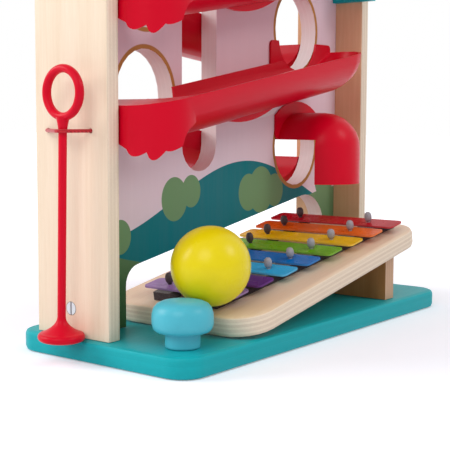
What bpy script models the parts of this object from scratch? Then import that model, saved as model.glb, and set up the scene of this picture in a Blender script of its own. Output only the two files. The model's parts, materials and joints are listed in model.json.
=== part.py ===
# Ball pounding bench: a wooden tower on a base board, with a pounding deck on top, red tracks
# that zigzag through the windows of a printed centre panel, and a metal xylophone at its foot.
# Frame: metres, +Z up, origin at the centre of the base board's underside, X along the bench,
# the front towards -Y. Places along X and Y are measured from the base board's left and front
# edges, and heights from its underside.

import math
import bmesh
import bpy
from mathutils import Matrix, Vector

# Clearances
SEAT_GAP = 0.0003
HOLE_GAP = 0.0003
BALL_CLEARANCE = 0.0003
CUT_OVERRUN = 0.003
WELD_DISTANCE = 0.000001

# Base board
BASE_LENGTH = 0.2834
BASE_DEPTH = 0.129
BASE_THICKNESS = 0.012
BASE_CORNER = 0.015
BOARD_ROUNDOVER = 0.0025

# Side panels
SIDE_MARGIN = 0.0052
SIDE_THICKNESS = 0.009
SIDE_FRONT = 0.0588
SIDE_DEPTH = 0.0559
SIDE_EDGE_ROUND = 0.001
TOWER_TOP = 0.2797

# Balls
BALL_DIAMETER = 0.0446

# Centre panel with its windows, slot and arch
CENTRE_THICKNESS = 0.012
WINDOW_WIDTH = 0.050
WINDOW_HEIGHT = 0.055
LEFT_WINDOW_X = 0.0595
RIGHT_WINDOW_X = 0.2165
LEFT_WINDOW_Z = 0.1457
LEVEL_RISE = 0.067
RIGHT_WINDOW_Z = 0.1137
RIGHT_LEVEL_RISE = 0.080
SLOT_X = 0.1096
SLOT_WIDTH = 0.0338
SLOT_BOTTOM = 0.0999
SLOT_TOP = 0.245
ARCH_LEFT = 0.0423
ARCH_RIGHT = 0.2548
ARCH_SPRING = 0.0462
ARCH_SLOPE = math.radians(9.9)
ARCH_LEFT_RADIUS = 0.012
ARCH_RIGHT_RADIUS = 0.0253

# Pounding deck and its rubber rings
DECK_FRONT = 0.0160
DECK_DEPTH = 0.1040
DECK_THICKNESS = 0.012
DECK_CORNER = 0.015
HOLE_SPACING = 0.064
RING_OUTER = 0.0290
RING_WAIST = 0.0213
RING_MOUTH = 0.0245

# Board that closes the drop lane at the right
LANE_BOARD_THICKNESS = 0.005
LANE_BOARD_FRONT = 0.048
LANE_BOARD_BOTTOM = 0.2165

# Front tracks
TRACK_WALL = 0.0016
FRONT_RIM_X = 0.076
FRONT_RIM_Z = 0.1505
FRONT_SLOPE = math.radians(10)
BOWL_SKIRT_BOTTOM = 0.1208
BOWL_SKIRT_START = 106
BOWL_LOBE_ANGLES = (185, 213, 238, 263)
BOWL_LOBE_DEPTHS = (0.0033, 0.0046, 0.001)
BOWL_NOTCH_HEIGHTS = (0.1166, 0.115, 0.1158, 0.1182)
BOWL_TAIL_ANGLES = (268, 275, 285, 297, 312)
BOWL_TAIL_HEIGHTS = (0.1235, 0.127, 0.129, 0.1306, 0.132)
LOBE_SKEW_SHARE = 0.7
FIN_X = 0.1295
FIN_LENGTH = 0.051
FIN_DROP = 0.0043
FIN_THICKNESS = 0.002
COLLAR_LEFT_ARM = 0.0325
COLLAR_RIGHT_ARM = 0.0425
COLLAR_TOP = 0.1855
COLLAR_DROP = 0.0135
COLLAR_CORNER = 0.003
FLANGE_THICKNESS = 0.0014
PEG_RADIUS = 0.0026
PEG_DEPTH = 0.0052
PEG_DROP = 0.0045
PEG_ROOT_SHARE = 0.65
FRONT_PEG_PLACES = (0.140, 0.178)
BOWL_PEG_PLACE = 0.030
BOWL_PEG_ROOT = 0.0045
FRONT_DROP = 0.0134

# Rear tracks
REAR_UPPER_RIM = 0.207
REAR_UPPER_FALL = 0.0183
REAR_LOWER_RIM = 0.137
REAR_LOWER_FALL = 0.0279
REAR_PEG_PLACES = (0.140, 0.178)
REAR_DROP = 0.0105

# Chute hood at the lower right window
HOOD_CENTRE_Z = 0.1125
HOOD_SIDE_BOTTOM = 0.1185
HOOD_FRONT_BOTTOM = 0.0887
HOOD_CHEEK_Y = 0.0495
HOOD_FLANGE_WIDTH = 0.052
HOOD_FLANGE_TOP = 0.1446
HOOD_FLANGE_ARC = 0.040
HOOD_FLANGE_CORNER = 0.004
HOOD_SPIGOT = 0.005

# Xylophone
XYLO_START_X = 0.0531
XYLO_SLOPE = math.radians(10.42)
XYLO_LENGTH = 0.203
XYLO_FRONT = -0.002
XYLO_WIDTH = 0.110
XYLO_THICKNESS = 0.012
XYLO_CORNER = 0.021
RAIL_HEIGHT = 0.004
RAIL_WIDTH = 0.012
SHORT_RAIL_SPREAD = 0.0163
LONG_RAIL_SPREAD = 0.0316
RAIL_START = 0.010
RAIL_END = 0.190
KEY_COUNT = 8
KEY_THICKNESS = 0.002
KEY_WIDTH = 0.0165
KEY_PITCH = 0.0222
KEY_CORNER = 0.003
FIRST_KEY_PLACE = 0.0223
SHORT_KEY_LENGTH = 0.068
LONG_KEY_LENGTH = 0.0985
KEY_CENTRE_Y = 0.053
SHORT_PIN_SPREAD = 0.0193
LONG_PIN_SPREAD = 0.0276
PIN_RADIUS = 0.0012
PIN_DEPTH = 0.008
CAP_RADIUS = 0.0025
CAP_HEIGHT = 0.0062
CAP_LIFT = 0.0009
CAP_WIDTH_SHARES = (0.7, 1.0, 0.75)
CAP_HEIGHT_SHARES = (0.0, 0.4, 0.85)
SUPPORT_X = 0.216
SUPPORT_THICKNESS = 0.011
SUPPORT_FRONT = 0.007
SUPPORT_DEPTH = 0.091

# Stop shaped like a mushroom
STOP_X = 0.0225
STOP_Y = 0.0215
STOP_STEM_RADIUS = 0.00945
STOP_HEAD_RADIUS = 0.01655
STOP_HEAD_BOTTOM = 0.0205
STOP_HEAD_HEIGHT = 0.017
STOP_SPIGOT_RADIUS = 0.004
STOP_SPIGOT_DEPTH = 0.007
REST_BALL_Y = 0.0253

# Mallet, which stands by the left panel
MALLET_X = -0.008
MALLET_FOOT_Y = 0.0818
MALLET_RING_Y = 0.0785
MALLET_RING_Z = 0.1465
MALLET_RING_WIDTH = 0.0295
MALLET_RING_HEIGHT = 0.030
MALLET_RING_SECTION = 0.0045
MALLET_RING_THICKNESS = 0.0054
MALLET_STEM_RADIUS = 0.0023
MALLET_NECK_RADIUS = 0.0042
MALLET_NECK_LENGTH = 0.008
MALLET_FOOT_RADIUS = 0.01285
MALLET_FOOT_HEIGHT = 0.0045
MALLET_FLARE_HEIGHT = 0.0095
FLARE_POWER = 2.4

# Elastic cords
CORD_RADIUS = 0.0011
CORD_HOLE_DEPTH = 0.006
MALLET_CORD_Z = 0.1262
MALLET_CORD_FRONT = 0.0714
MALLET_CORD_REAR = 0.1043
HAMMER_CORD_SPAN = 0.026

# Hammer, which hangs in its loop on the right panel
HAMMER_HEAD_RADIUS = 0.014
HAMMER_HEAD_LENGTH = 0.062
HAMMER_HEAD_Z = 0.248
HAMMER_HEAD_ROUND = 0.0025
HAMMER_HANDLE_RADIUS = 0.005
HAMMER_HANDLE_BOTTOM = 0.110
HAMMER_SOCKET_DEPTH = 0.018
HAMMER_PANEL_GAP = 0.0005

# Fasteners
NUT_RADIUS = 0.0036
NUT_LENGTH = 0.0078
NUT_Y = 0.0878
NUT_HEIGHT = 0.0277
NUT_SLOT_WIDTH = 0.0010
NUT_SLOT_DEPTH = 0.0007
BOLT_RADIUS = 0.0018
BOLT_HEAD_RADIUS = 0.0042
BOLT_HEAD_HEIGHT = 0.0022
BOLT_TIP = 0.0060

# Counts of facets
CORD_TURNS = 8
PIPE_SIDES = 12
END_STEPS = 4
SPHERE_SEGMENTS = 20
SPHERE_RINGS = 12
SKIRT_STEPS = 3
LOBE_STEPS = 8
PLATE_STEPS = 10

# Derived sizes and places
LEFT = -BASE_LENGTH / 2
FRONT = -BASE_DEPTH / 2
BALL_RADIUS = BALL_DIAMETER / 2
TRACK_INNER = BALL_RADIUS + BALL_CLEARANCE
TRACK_OUTER = TRACK_INNER + TRACK_WALL
BALL_WAY = (TRACK_INNER + TRACK_OUTER) / 2
STAND_Z = BASE_THICKNESS + SEAT_GAP
SIDE_MID_Y = FRONT + SIDE_FRONT + SIDE_DEPTH / 2
CENTRE_FRONT_Y = SIDE_MID_Y - CENTRE_THICKNESS / 2
CENTRE_REAR_Y = SIDE_MID_Y + CENTRE_THICKNESS / 2
LEFT_OUTER_X = LEFT + SIDE_MARGIN
LEFT_INNER_X = LEFT_OUTER_X + SIDE_THICKNESS
RIGHT_OUTER_X = -LEFT_OUTER_X
RIGHT_INNER_X = -LEFT_INNER_X
TRACK_BACK_Y = CENTRE_FRONT_Y - SEAT_GAP
FRONT_TRACK_Y = TRACK_BACK_Y - TRACK_OUTER
REAR_TRACK_Y = CENTRE_REAR_Y + SEAT_GAP + TRACK_OUTER
BOWL_X = LEFT_INNER_X + SEAT_GAP + TRACK_OUTER
REAR_BOWL_X = RIGHT_INNER_X - SEAT_GAP - TRACK_OUTER
LEFT_PORT_X = LEFT + LEFT_WINDOW_X
RIGHT_PORT_X = LEFT + RIGHT_WINDOW_X
DECK_BOTTOM = TOWER_TOP + SEAT_GAP
DECK_TOP = DECK_BOTTOM + DECK_THICKNESS
DECK_HOLE_RADIUS = RING_OUTER + HOLE_GAP
DECK_HOLES = (-HOLE_SPACING, 0.0, HOLE_SPACING)
CORD_HOLE_RADIUS = CORD_RADIUS + HOLE_GAP
BOLT_HOLE_RADIUS = BOLT_RADIUS + HOLE_GAP
BOLT_Y = FRONT + NUT_Y
BOLT_PLACES = ((LEFT_OUTER_X, 1), (RIGHT_OUTER_X, -1))
UPPER_NUT_Z = TOWER_TOP + BASE_THICKNESS - NUT_HEIGHT + SEAT_GAP
HAMMER_X = RIGHT_OUTER_X + HAMMER_PANEL_GAP + HAMMER_HEAD_RADIUS
HAMMER_CORD_Z = HAMMER_HEAD_Z - HAMMER_HEAD_RADIUS - SEAT_GAP - CORD_RADIUS
RAIL_BOTTOM = XYLO_THICKNESS + SEAT_GAP
RAIL_TOP = RAIL_BOTTOM + RAIL_HEIGHT
KEY_BOTTOM = RAIL_TOP + SEAT_GAP
KEY_TOP = KEY_BOTTOM + KEY_THICKNESS
PIN_HOLE_RADIUS = PIN_RADIUS + HOLE_GAP

for old in list(bpy.data.objects):
    bpy.data.objects.remove(old, do_unlink=True)


# Materials

def material(name, colour, roughness, metallic=0.0):
    """A Principled material with the piece's colour."""
    made = bpy.data.materials.new(name)
    made.use_nodes = True
    shader = made.node_tree.nodes["Principled BSDF"]
    shader.inputs["Base Color"].default_value = (*colour, 1.0)
    shader.inputs["Roughness"].default_value = roughness
    shader.inputs["Metallic"].default_value = metallic
    return made


TEAL_PAINT = material("teal_paint", (0.015, 0.300, 0.340), 0.35)
PALE_TEAL = material("pale_teal_paint", (0.090, 0.550, 0.680), 0.30)
PLYWOOD = material("plywood", (0.900, 0.760, 0.560), 0.55)
PRINT = material("printed_plywood", (0.680, 0.460, 0.520), 0.50)
RED_PLASTIC = material("red_plastic", (0.600, 0.008, 0.018), 0.25)
YELLOW_PAINT = material("yellow_paint", (0.850, 0.680, 0.008), 0.25)
GREEN_PAINT = material("green_paint", (0.120, 0.420, 0.020), 0.25)
RED_PAINT = material("red_paint", (0.580, 0.010, 0.018), 0.25)
RUBBER = material("ring_rubber", (0.550, 0.020, 0.020), 0.70)
ELASTIC = material("red_elastic", (0.520, 0.010, 0.020), 0.75)
FELT = material("dark_felt", (0.035, 0.018, 0.022), 0.90)
CAP_GREY = material("grey_caps", (0.570, 0.540, 0.610), 0.45)
STEEL = material("steel", (0.560, 0.570, 0.580), 0.30, 1.0)
BEECH = material("beech", (0.720, 0.520, 0.310), 0.50)


# Modelling helpers

def add_object(name, bm, finish, smooth=True):
    """An object of that name from a bmesh, its round faces shaded smooth."""
    bmesh.ops.recalc_face_normals(bm, faces=bm.faces)
    mesh = bpy.data.meshes.new(name)
    bm.to_mesh(mesh)
    bm.free()
    made = bpy.data.objects.new(name, mesh)
    bpy.context.scene.collection.objects.link(made)
    mesh.materials.append(finish)
    if smooth:
        mesh.shade_smooth()
        mesh.set_sharp_from_angle(angle=math.radians(35))
    return made


def combine(target, other, operation):
    """Apply a Boolean of the other object to the target, and remove the other."""
    modifier = target.modifiers.new(operation.lower(), "BOOLEAN")
    modifier.operation = operation
    modifier.solver = "EXACT"
    modifier.object = other
    bpy.context.view_layer.update()
    graph = bpy.context.evaluated_depsgraph_get()
    result = bpy.data.meshes.new_from_object(target.evaluated_get(graph))
    target.modifiers.clear()
    old_mesh = target.data
    target.data = result
    bpy.data.meshes.remove(old_mesh)
    bpy.data.objects.remove(other, do_unlink=True)
    target.data.shade_smooth()
    target.data.set_sharp_from_angle(angle=math.radians(35))


def cut(target, cutter):
    combine(target, cutter, "DIFFERENCE")


def join(target, other):
    combine(target, other, "UNION")


def set_origin(made, place):
    """Move an object's origin to a place, and leave its shape where it is."""
    made.data.transform(Matrix.Translation(-Vector(place)))
    made.location = place


def prism(points, low, high, axis="Z"):
    """A closed outline extruded along an axis: points are (x, y), (x, z) or (y, z)."""
    bm = bmesh.new()
    if axis == "Z":
        verts = [bm.verts.new((a, b, low)) for a, b in points]
        step = Vector((0, 0, high - low))
    elif axis == "Y":
        verts = [bm.verts.new((a, low, b)) for a, b in points]
        step = Vector((0, high - low, 0))
    else:
        verts = [bm.verts.new((low, a, b)) for a, b in points]
        step = Vector((high - low, 0, 0))
    face = bm.faces.new(verts)
    grown = bmesh.ops.extrude_face_region(bm, geom=[face])
    moved = [item for item in grown["geom"] if isinstance(item, bmesh.types.BMVert)]
    bmesh.ops.translate(bm, vec=step, verts=moved)
    return bm


def arc(centre, radius, start, end, count):
    """Points on an arc, its angles in degrees."""
    points = []
    for step in range(count + 1):
        angle = math.radians(start + (end - start) * step / count)
        points.append((centre[0] + radius * math.cos(angle), centre[1] + radius * math.sin(angle)))
    return points


def rounded_rectangle(low, high, radius, count=6):
    """The outline of a rectangle with round corners."""
    points = arc((high[0] - radius, high[1] - radius), radius, 0, 90, count)
    points += arc((low[0] + radius, high[1] - radius), radius, 90, 180, count)
    points += arc((low[0] + radius, low[1] + radius), radius, 180, 270, count)
    points += arc((high[0] - radius, low[1] + radius), radius, 270, 360, count)
    return points


def ellipse(centre, width, height, count):
    """The outline of an upright oval."""
    points = []
    for step in range(count):
        angle = 2 * math.pi * step / count
        points.append((centre[0] + width / 2 * math.cos(angle), centre[1] + height / 2 * math.sin(angle)))
    return points


def board(name, low, high, bottom, top, corner, finish):
    """A level board with round corners and rounded-over edges."""
    bm = prism(rounded_rectangle(low, high, corner), bottom, top)
    level = (bottom + top) / 2
    edges = [e for e in bm.edges if (e.verts[0].co.z - level) * (e.verts[1].co.z - level) > 0]
    bmesh.ops.bevel(
        bm, geom=edges, offset=BOARD_ROUNDOVER, offset_type="OFFSET", segments=2, profile=0.5,
        affect="EDGES", clamp_overlap=True, material=-1)
    return add_object(name, bm, finish)


def box(name, low, high, finish):
    """A plain box between two corners."""
    outline = ((low[0], low[1]), (high[0], low[1]), (high[0], high[1]), (low[0], high[1]))
    return add_object(name, prism(outline, low[2], high[2]), finish, smooth=False)


def cylinder(name, start, end, radius, finish, segments=16):
    """A round bar between two points."""
    start = Vector(start)
    end = Vector(end)
    bm = bmesh.new()
    turn = (end - start).to_track_quat("Z", "Y").to_matrix().to_4x4()
    bmesh.ops.create_cone(
        bm, cap_ends=True, segments=segments, radius1=radius, radius2=radius,
        depth=(end - start).length, matrix=Matrix.Translation((start + end) / 2) @ turn)
    return add_object(name, bm, finish)


def lathe(bm, profile, segments, matrix):
    """Add a solid of revolution to a bmesh: the profile is (radius, height)."""
    earlier = set(bm.verts)
    verts = [bm.verts.new((radius, 0, height)) for radius, height in profile]
    edges = [bm.edges.new(pair) for pair in zip(verts, verts[1:])]
    bmesh.ops.spin(
        bm, geom=verts + edges, cent=(0, 0, 0), axis=(0, 0, 1), dvec=(0, 0, 0),
        angle=2 * math.pi, steps=segments, use_merge=True, use_duplicate=False)
    added = [v for v in bm.verts if v not in earlier]
    bmesh.ops.remove_doubles(bm, verts=added, dist=WELD_DISTANCE)
    added = [v for v in bm.verts if v not in earlier]
    bmesh.ops.transform(bm, matrix=matrix, verts=added)


def turned(name, profile, matrix, finish, segments=24):
    """One solid of revolution."""
    bm = bmesh.new()
    lathe(bm, profile, segments, matrix)
    return add_object(name, bm, finish)


def ball(name, centre, finish):
    """One wooden ball, its origin at its centre."""
    bm = bmesh.new()
    bmesh.ops.create_uvsphere(
        bm, u_segments=SPHERE_SEGMENTS, v_segments=SPHERE_RINGS, radius=BALL_RADIUS)
    made = add_object(name, bm, finish)
    made.location = centre
    return made


# Base board

def build_base():
    made = board("base_board", (LEFT, FRONT), (-LEFT, -FRONT), 0, BASE_THICKNESS, BASE_CORNER, TEAL_PAINT)
    cut(made, cylinder(
        "spigot_hole", (LEFT + STOP_X, FRONT + STOP_Y, BASE_THICKNESS - STOP_SPIGOT_DEPTH - SEAT_GAP),
        (LEFT + STOP_X, FRONT + STOP_Y, BASE_THICKNESS + CUT_OVERRUN), STOP_SPIGOT_RADIUS + HOLE_GAP,
        TEAL_PAINT))
    for outer_x, inward in BOLT_PLACES:
        x = outer_x + inward * SIDE_THICKNESS / 2
        cut(made, cylinder("bolt_hole", (x, BOLT_Y, -CUT_OVERRUN), (x, BOLT_Y, BASE_THICKNESS + CUT_OVERRUN),
                           BOLT_HOLE_RADIUS, TEAL_PAINT, 12))
        cut(made, cylinder("counterbore", (x, BOLT_Y, -CUT_OVERRUN), (x, BOLT_Y, BOLT_HEAD_HEIGHT + 2 * SEAT_GAP),
                           BOLT_HEAD_RADIUS + HOLE_GAP, TEAL_PAINT, 16))
    return made


# Side panels

def build_side(name, outer_x, inward, cord_places):
    """A side panel with bores for its nuts, its bolts and the ends of its cord."""
    inner_x = outer_x + inward * SIDE_THICKNESS
    mid_x = (outer_x + inner_x) / 2
    front = FRONT + SIDE_FRONT
    outline = rounded_rectangle(
        (min(outer_x, inner_x), front), (max(outer_x, inner_x), front + SIDE_DEPTH), SIDE_EDGE_ROUND, 2)
    made = add_object(name, prism(outline, STAND_Z, TOWER_TOP), PLYWOOD)
    for z, end_z in ((NUT_HEIGHT, STAND_Z - CUT_OVERRUN), (UPPER_NUT_Z, TOWER_TOP + CUT_OVERRUN)):
        past = math.copysign(BOLT_TIP + SEAT_GAP, z - end_z)
        cut(made, cylinder("bolt_bore", (mid_x, BOLT_Y, end_z), (mid_x, BOLT_Y, z + past), BOLT_HOLE_RADIUS,
                           PLYWOOD, 12))
        cut(made, cylinder("nut_bore", (outer_x - inward * CUT_OVERRUN, BOLT_Y, z),
                           (outer_x + inward * (NUT_LENGTH + SEAT_GAP), BOLT_Y, z), NUT_RADIUS + HOLE_GAP,
                           PLYWOOD, 20))
    for y, z in cord_places:
        cut(made, cylinder("cord_bore", (outer_x - inward * CUT_OVERRUN, y, z),
                           (outer_x + inward * (CORD_HOLE_DEPTH + SEAT_GAP), y, z), CORD_HOLE_RADIUS,
                           PLYWOOD, 12))
    return made


# Centre panel

def arch_outline():
    """The opening over the xylophone: two legs under a top that slopes with the keys."""
    left = LEFT + ARCH_LEFT
    right = LEFT + ARCH_RIGHT
    lean = math.degrees(ARCH_SLOPE)

    def fillet_centre(x, radius):
        top = ARCH_SPRING + (x - left) * math.tan(ARCH_SLOPE)
        return x, top - radius / math.cos(ARCH_SLOPE)

    floor = STAND_Z - CUT_OVERRUN
    right_centre = fillet_centre(right - ARCH_RIGHT_RADIUS, ARCH_RIGHT_RADIUS)
    left_centre = fillet_centre(left + ARCH_LEFT_RADIUS, ARCH_LEFT_RADIUS)
    points = [(right, floor)]
    points += arc(right_centre, ARCH_RIGHT_RADIUS, 0, 90 + lean, 9)
    points += arc(left_centre, ARCH_LEFT_RADIUS, 90 + lean, 180, 6)
    points.append((left, floor))
    return points


def window_places():
    """Centres of the four oval windows, as (x, z)."""
    return (
        (LEFT_PORT_X, LEFT_WINDOW_Z), (LEFT_PORT_X, LEFT_WINDOW_Z + LEVEL_RISE),
        (RIGHT_PORT_X, RIGHT_WINDOW_Z), (RIGHT_PORT_X, RIGHT_WINDOW_Z + RIGHT_LEVEL_RISE))


def build_centre():
    low_x = LEFT_INNER_X + SEAT_GAP
    near = CENTRE_FRONT_Y - CUT_OVERRUN
    far = CENTRE_REAR_Y + CUT_OVERRUN
    made = box("center_panel", (low_x, CENTRE_FRONT_Y, STAND_Z), (-low_x, CENTRE_REAR_Y, TOWER_TOP), PRINT)
    for place in window_places():
        outline = ellipse(place, WINDOW_WIDTH, WINDOW_HEIGHT, 26)
        cut(made, add_object("window", prism(outline, near, far, "Y"), PRINT))
    x = LEFT + SLOT_X
    radius = SLOT_WIDTH / 2
    slot = arc((x, SLOT_BOTTOM + radius), radius, 180, 360, 10) + arc((x, SLOT_TOP - radius), radius, 0, 180, 10)
    cut(made, add_object("slot", prism(slot, near, far, "Y"), PRINT))
    cut(made, add_object("arch", prism(arch_outline(), near, far, "Y"), PRINT))
    for x, y, z, turn in all_peg_places():
        cut(made, cylinder("peg_bore", (x, y - turn * CUT_OVERRUN, z),
                           (x, y + turn * (PEG_DEPTH + SEAT_GAP), z), PEG_RADIUS + HOLE_GAP, PRINT, 12))
    return made


# Pounding deck with its rubber rings, and the board that closes the lane below it

def build_deck():
    front = FRONT + DECK_FRONT
    made = board("pounding_deck", (LEFT_OUTER_X, front), (RIGHT_OUTER_X, front + DECK_DEPTH),
                 DECK_BOTTOM, DECK_TOP, DECK_CORNER, TEAL_PAINT)
    for x in DECK_HOLES:
        cut(made, cylinder("hole", (x, FRONT_TRACK_Y, DECK_BOTTOM - CUT_OVERRUN),
                           (x, FRONT_TRACK_Y, DECK_TOP + CUT_OVERRUN), DECK_HOLE_RADIUS, TEAL_PAINT, 36))
    for outer_x, inward in BOLT_PLACES:
        x = outer_x + inward * SIDE_THICKNESS / 2
        cut(made, cylinder("bolt_hole", (x, BOLT_Y, DECK_BOTTOM - CUT_OVERRUN),
                           (x, BOLT_Y, DECK_TOP + CUT_OVERRUN), BOLT_HOLE_RADIUS, TEAL_PAINT, 12))
    return made


def build_ring(name, x):
    """A rubber ring whose bore narrows to a waist that holds the ball."""
    waist_z = DECK_THICKNESS / 2
    half_mouth = (RING_MOUTH + RING_WAIST) / 2
    profile = (
        (RING_OUTER, 0), (RING_OUTER, DECK_THICKNESS), (RING_MOUTH, DECK_THICKNESS),
        (half_mouth, DECK_THICKNESS - waist_z / 2 - SEAT_GAP), (RING_WAIST, waist_z),
        (half_mouth, waist_z / 2 + SEAT_GAP), (RING_MOUTH, 0), (RING_OUTER, 0))
    return turned(name, profile, Matrix.Translation((x, FRONT_TRACK_Y, DECK_BOTTOM)), RUBBER, 28)


def deck_ball_z():
    """Height of the centre of a ball that rests on a ring's waist."""
    reach = BALL_RADIUS + SEAT_GAP
    return DECK_BOTTOM + DECK_THICKNESS / 2 + math.sqrt(reach ** 2 - RING_WAIST ** 2)


def build_lane_board():
    high_x = RIGHT_INNER_X - SEAT_GAP
    return box("lane_end_board", (high_x - LANE_BOARD_THICKNESS, FRONT + LANE_BOARD_FRONT, LANE_BOARD_BOTTOM),
               (high_x, TRACK_BACK_Y, TOWER_TOP), TEAL_PAINT)


# Tracks

def skin_rows(bm, rows):
    """Close a solid over rows of points: sides between the rows, and a cap on each end row."""
    for first, second in zip(rows, rows[1:]):
        for side in range(len(first)):
            following = (side + 1) % len(first)
            bm.faces.new((first[side], first[following], second[following], second[side]))
    bm.faces.new(rows[0])
    bm.faces.new(rows[-1])
    bmesh.ops.remove_doubles(bm, verts=bm.verts, dist=WELD_DISTANCE)
    bmesh.ops.dissolve_degenerate(bm, edges=bm.edges, dist=WELD_DISTANCE)


def trough(name, start, end, y, radius, rim, round_start, round_end):
    """A half-round bar along X whose top stands above a sloping rim, with flat or round ends."""
    over = CUT_OVERRUN
    stations = [(start, 1.0), (end, 1.0)]
    for step in range(1, END_STEPS + 1):
        angle = math.pi / 2 * step / END_STEPS
        share = math.cos(angle) if step < END_STEPS else 0.0
        if round_start:
            stations.insert(0, (start - radius * math.sin(angle), share))
        if round_end:
            stations.append((end + radius * math.sin(angle), share))
    bm = bmesh.new()
    rows = []
    for x, share in stations:
        row = [bm.verts.new((x, y - radius * share, rim(x) + over))]
        for side in range(PIPE_SIDES + 1):
            angle = math.pi * side / PIPE_SIDES
            row.append(bm.verts.new(
                (x, y - radius * share * math.cos(angle), rim(x) - radius * share * math.sin(angle))))
        row.append(bm.verts.new((x, y + radius * share, rim(x) + over)))
        rows.append(row)
    skin_rows(bm, rows)
    return add_object(name, bm, RED_PLASTIC)


def above_rim(rim, low_x, high_x, y):
    """Everything above a track's rim."""
    top = rim(high_x) + rim(low_x)
    outline = ((low_x, rim(low_x)), (high_x, rim(high_x)), (high_x, top), (low_x, top))
    return add_object("above_rim", prism(outline, y - 2 * TRACK_OUTER, y + 2 * TRACK_OUTER, "Y"), RED_PLASTIC)


def front_rim(rise):
    """The front tracks' rim: a straight line that falls to the left."""
    def rim(x):
        return FRONT_RIM_Z + rise + (x - LEFT - FRONT_RIM_X) * math.tan(FRONT_SLOPE)
    return rim


def rear_rim(height, fall):
    """A rear track's rim: a straight line that falls to the right."""
    def rim(x):
        return height - fall * (x - LEFT_PORT_X) / (RIGHT_PORT_X - LEFT_PORT_X)
    return rim


def skirt_stations():
    """Round the bowl: an angle in degrees, and the height of the skirt's lower edge or None."""
    stations = []
    for step in range(SKIRT_STEPS):
        share = step / SKIRT_STEPS
        angle = BOWL_SKIRT_START + (BOWL_LOBE_ANGLES[0] - BOWL_SKIRT_START) * share
        stations.append((angle, BOWL_SKIRT_BOTTOM))
    lobes = zip(BOWL_LOBE_ANGLES, BOWL_LOBE_ANGLES[1:], BOWL_NOTCH_HEIGHTS, BOWL_NOTCH_HEIGHTS[1:],
                BOWL_LOBE_DEPTHS)
    for start, end, start_z, end_z, depth in lobes:
        for step in range(LOBE_STEPS):
            share = step / LOBE_STEPS
            hang = depth * math.sin(math.pi * share ** LOBE_SKEW_SHARE)
            stations.append((start + (end - start) * share, start_z + (end_z - start_z) * share - hang))
    stations.append((BOWL_LOBE_ANGLES[-1], BOWL_NOTCH_HEIGHTS[-1]))
    stations += zip(BOWL_TAIL_ANGLES, BOWL_TAIL_HEIGHTS)
    for step in range(1, PLATE_STEPS):
        share = step / PLATE_STEPS
        angle = BOWL_TAIL_ANGLES[-1] + (360 + BOWL_SKIRT_START - BOWL_TAIL_ANGLES[-1]) * share
        stations.append((angle, None))
    return stations


def bowl(rim, x, y, start):
    """A track's round end: a plate at the rim, over a thin skirt with three lobes."""
    over = 2 * CUT_OVERRUN
    rise = rim(x) - front_rim(0)(BOWL_X)
    bm = bmesh.new()
    columns = []
    for angle, low in skirt_stations():
        turn = math.radians(start + angle)
        outer_x = x + TRACK_OUTER * math.cos(turn)
        inner_x = x + TRACK_INNER * math.cos(turn)
        outer_y = y + TRACK_OUTER * math.sin(turn)
        inner_y = y + TRACK_INNER * math.sin(turn)
        under = rim(inner_x) - TRACK_WALL
        outer_low = rim(outer_x) - TRACK_WALL if low is None else low + rise
        inner_low = under if low is None else low + rise
        columns.append([
            bm.verts.new((outer_x, outer_y, rim(outer_x) + over)), bm.verts.new((outer_x, outer_y, outer_low)),
            bm.verts.new((inner_x, inner_y, inner_low)), bm.verts.new((inner_x, inner_y, under))])
    top = bm.verts.new((x, y, rim(x) + over))
    below = bm.verts.new((x, y, rim(x) - TRACK_WALL))
    for first, second in zip(columns, columns[1:] + columns[:1]):
        bm.faces.new((top, first[0], second[0]))
        for level in range(3):
            bm.faces.new((first[level], first[level + 1], second[level + 1], second[level]))
        bm.faces.new((below, second[3], first[3]))
    bmesh.ops.remove_doubles(bm, verts=bm.verts, dist=WELD_DISTANCE)
    bmesh.ops.dissolve_degenerate(bm, edges=bm.edges, dist=WELD_DISTANCE)
    return add_object("bowl", bm, RED_PLASTIC)


def fin(rim):
    """The shallow fin under the middle of a front track."""
    half = FIN_LENGTH / 2
    radius = (half ** 2 + FIN_DROP ** 2) / (2 * FIN_DROP)
    sweep = math.degrees(math.asin(half / radius))
    points = []
    for x, sag in arc((LEFT + FIN_X, radius - FIN_DROP), radius, 270 - sweep, 270 + sweep, 10):
        points.append((x, rim(x) - TRACK_OUTER + TRACK_WALL / 4 + sag))
    points.append((points[-1][0], points[-1][1] + TRACK_WALL / 4))
    points.append((points[0][0], points[0][1] + TRACK_WALL / 4))
    near = FRONT_TRACK_Y - FIN_THICKNESS / 2
    return add_object("fin", prism(points, near, near + FIN_THICKNESS, "Y"), RED_PLASTIC)


def peg(x, z, turn, root=TRACK_WALL * PEG_ROOT_SHARE):
    """A peg from a track's wall into the centre panel: turn is 1 from the front, -1 from behind."""
    face_y = CENTRE_FRONT_Y if turn > 0 else CENTRE_REAR_Y
    start_y = face_y - turn * (SEAT_GAP + root)
    return cylinder("peg", (x, start_y, z), (x, face_y + turn * PEG_DEPTH, z), PEG_RADIUS, RED_PLASTIC, 12)


def front_peg_places(rise):
    """A front track's pegs as (x, z), the bowl's own last."""
    rim = front_rim(rise)
    return [(LEFT + place, rim(LEFT + place) - PEG_DROP) for place in (*FRONT_PEG_PLACES, BOWL_PEG_PLACE)]


def rear_peg_places(height, fall):
    rim = rear_rim(height, fall)
    return [(LEFT + place, rim(LEFT + place) - PEG_DROP) for place in REAR_PEG_PLACES]


def all_peg_places():
    """Every peg as (x, y of the panel's face, z, direction)."""
    places = []
    for rise in (0.0, LEVEL_RISE):
        places += [(x, CENTRE_FRONT_Y, z, 1) for x, z in front_peg_places(rise)]
    for height, fall in ((REAR_UPPER_RIM, REAR_UPPER_FALL), (REAR_LOWER_RIM, REAR_LOWER_FALL)):
        places += [(x, CENTRE_REAR_Y, z, -1) for x, z in rear_peg_places(height, fall)]
    return places


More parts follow.
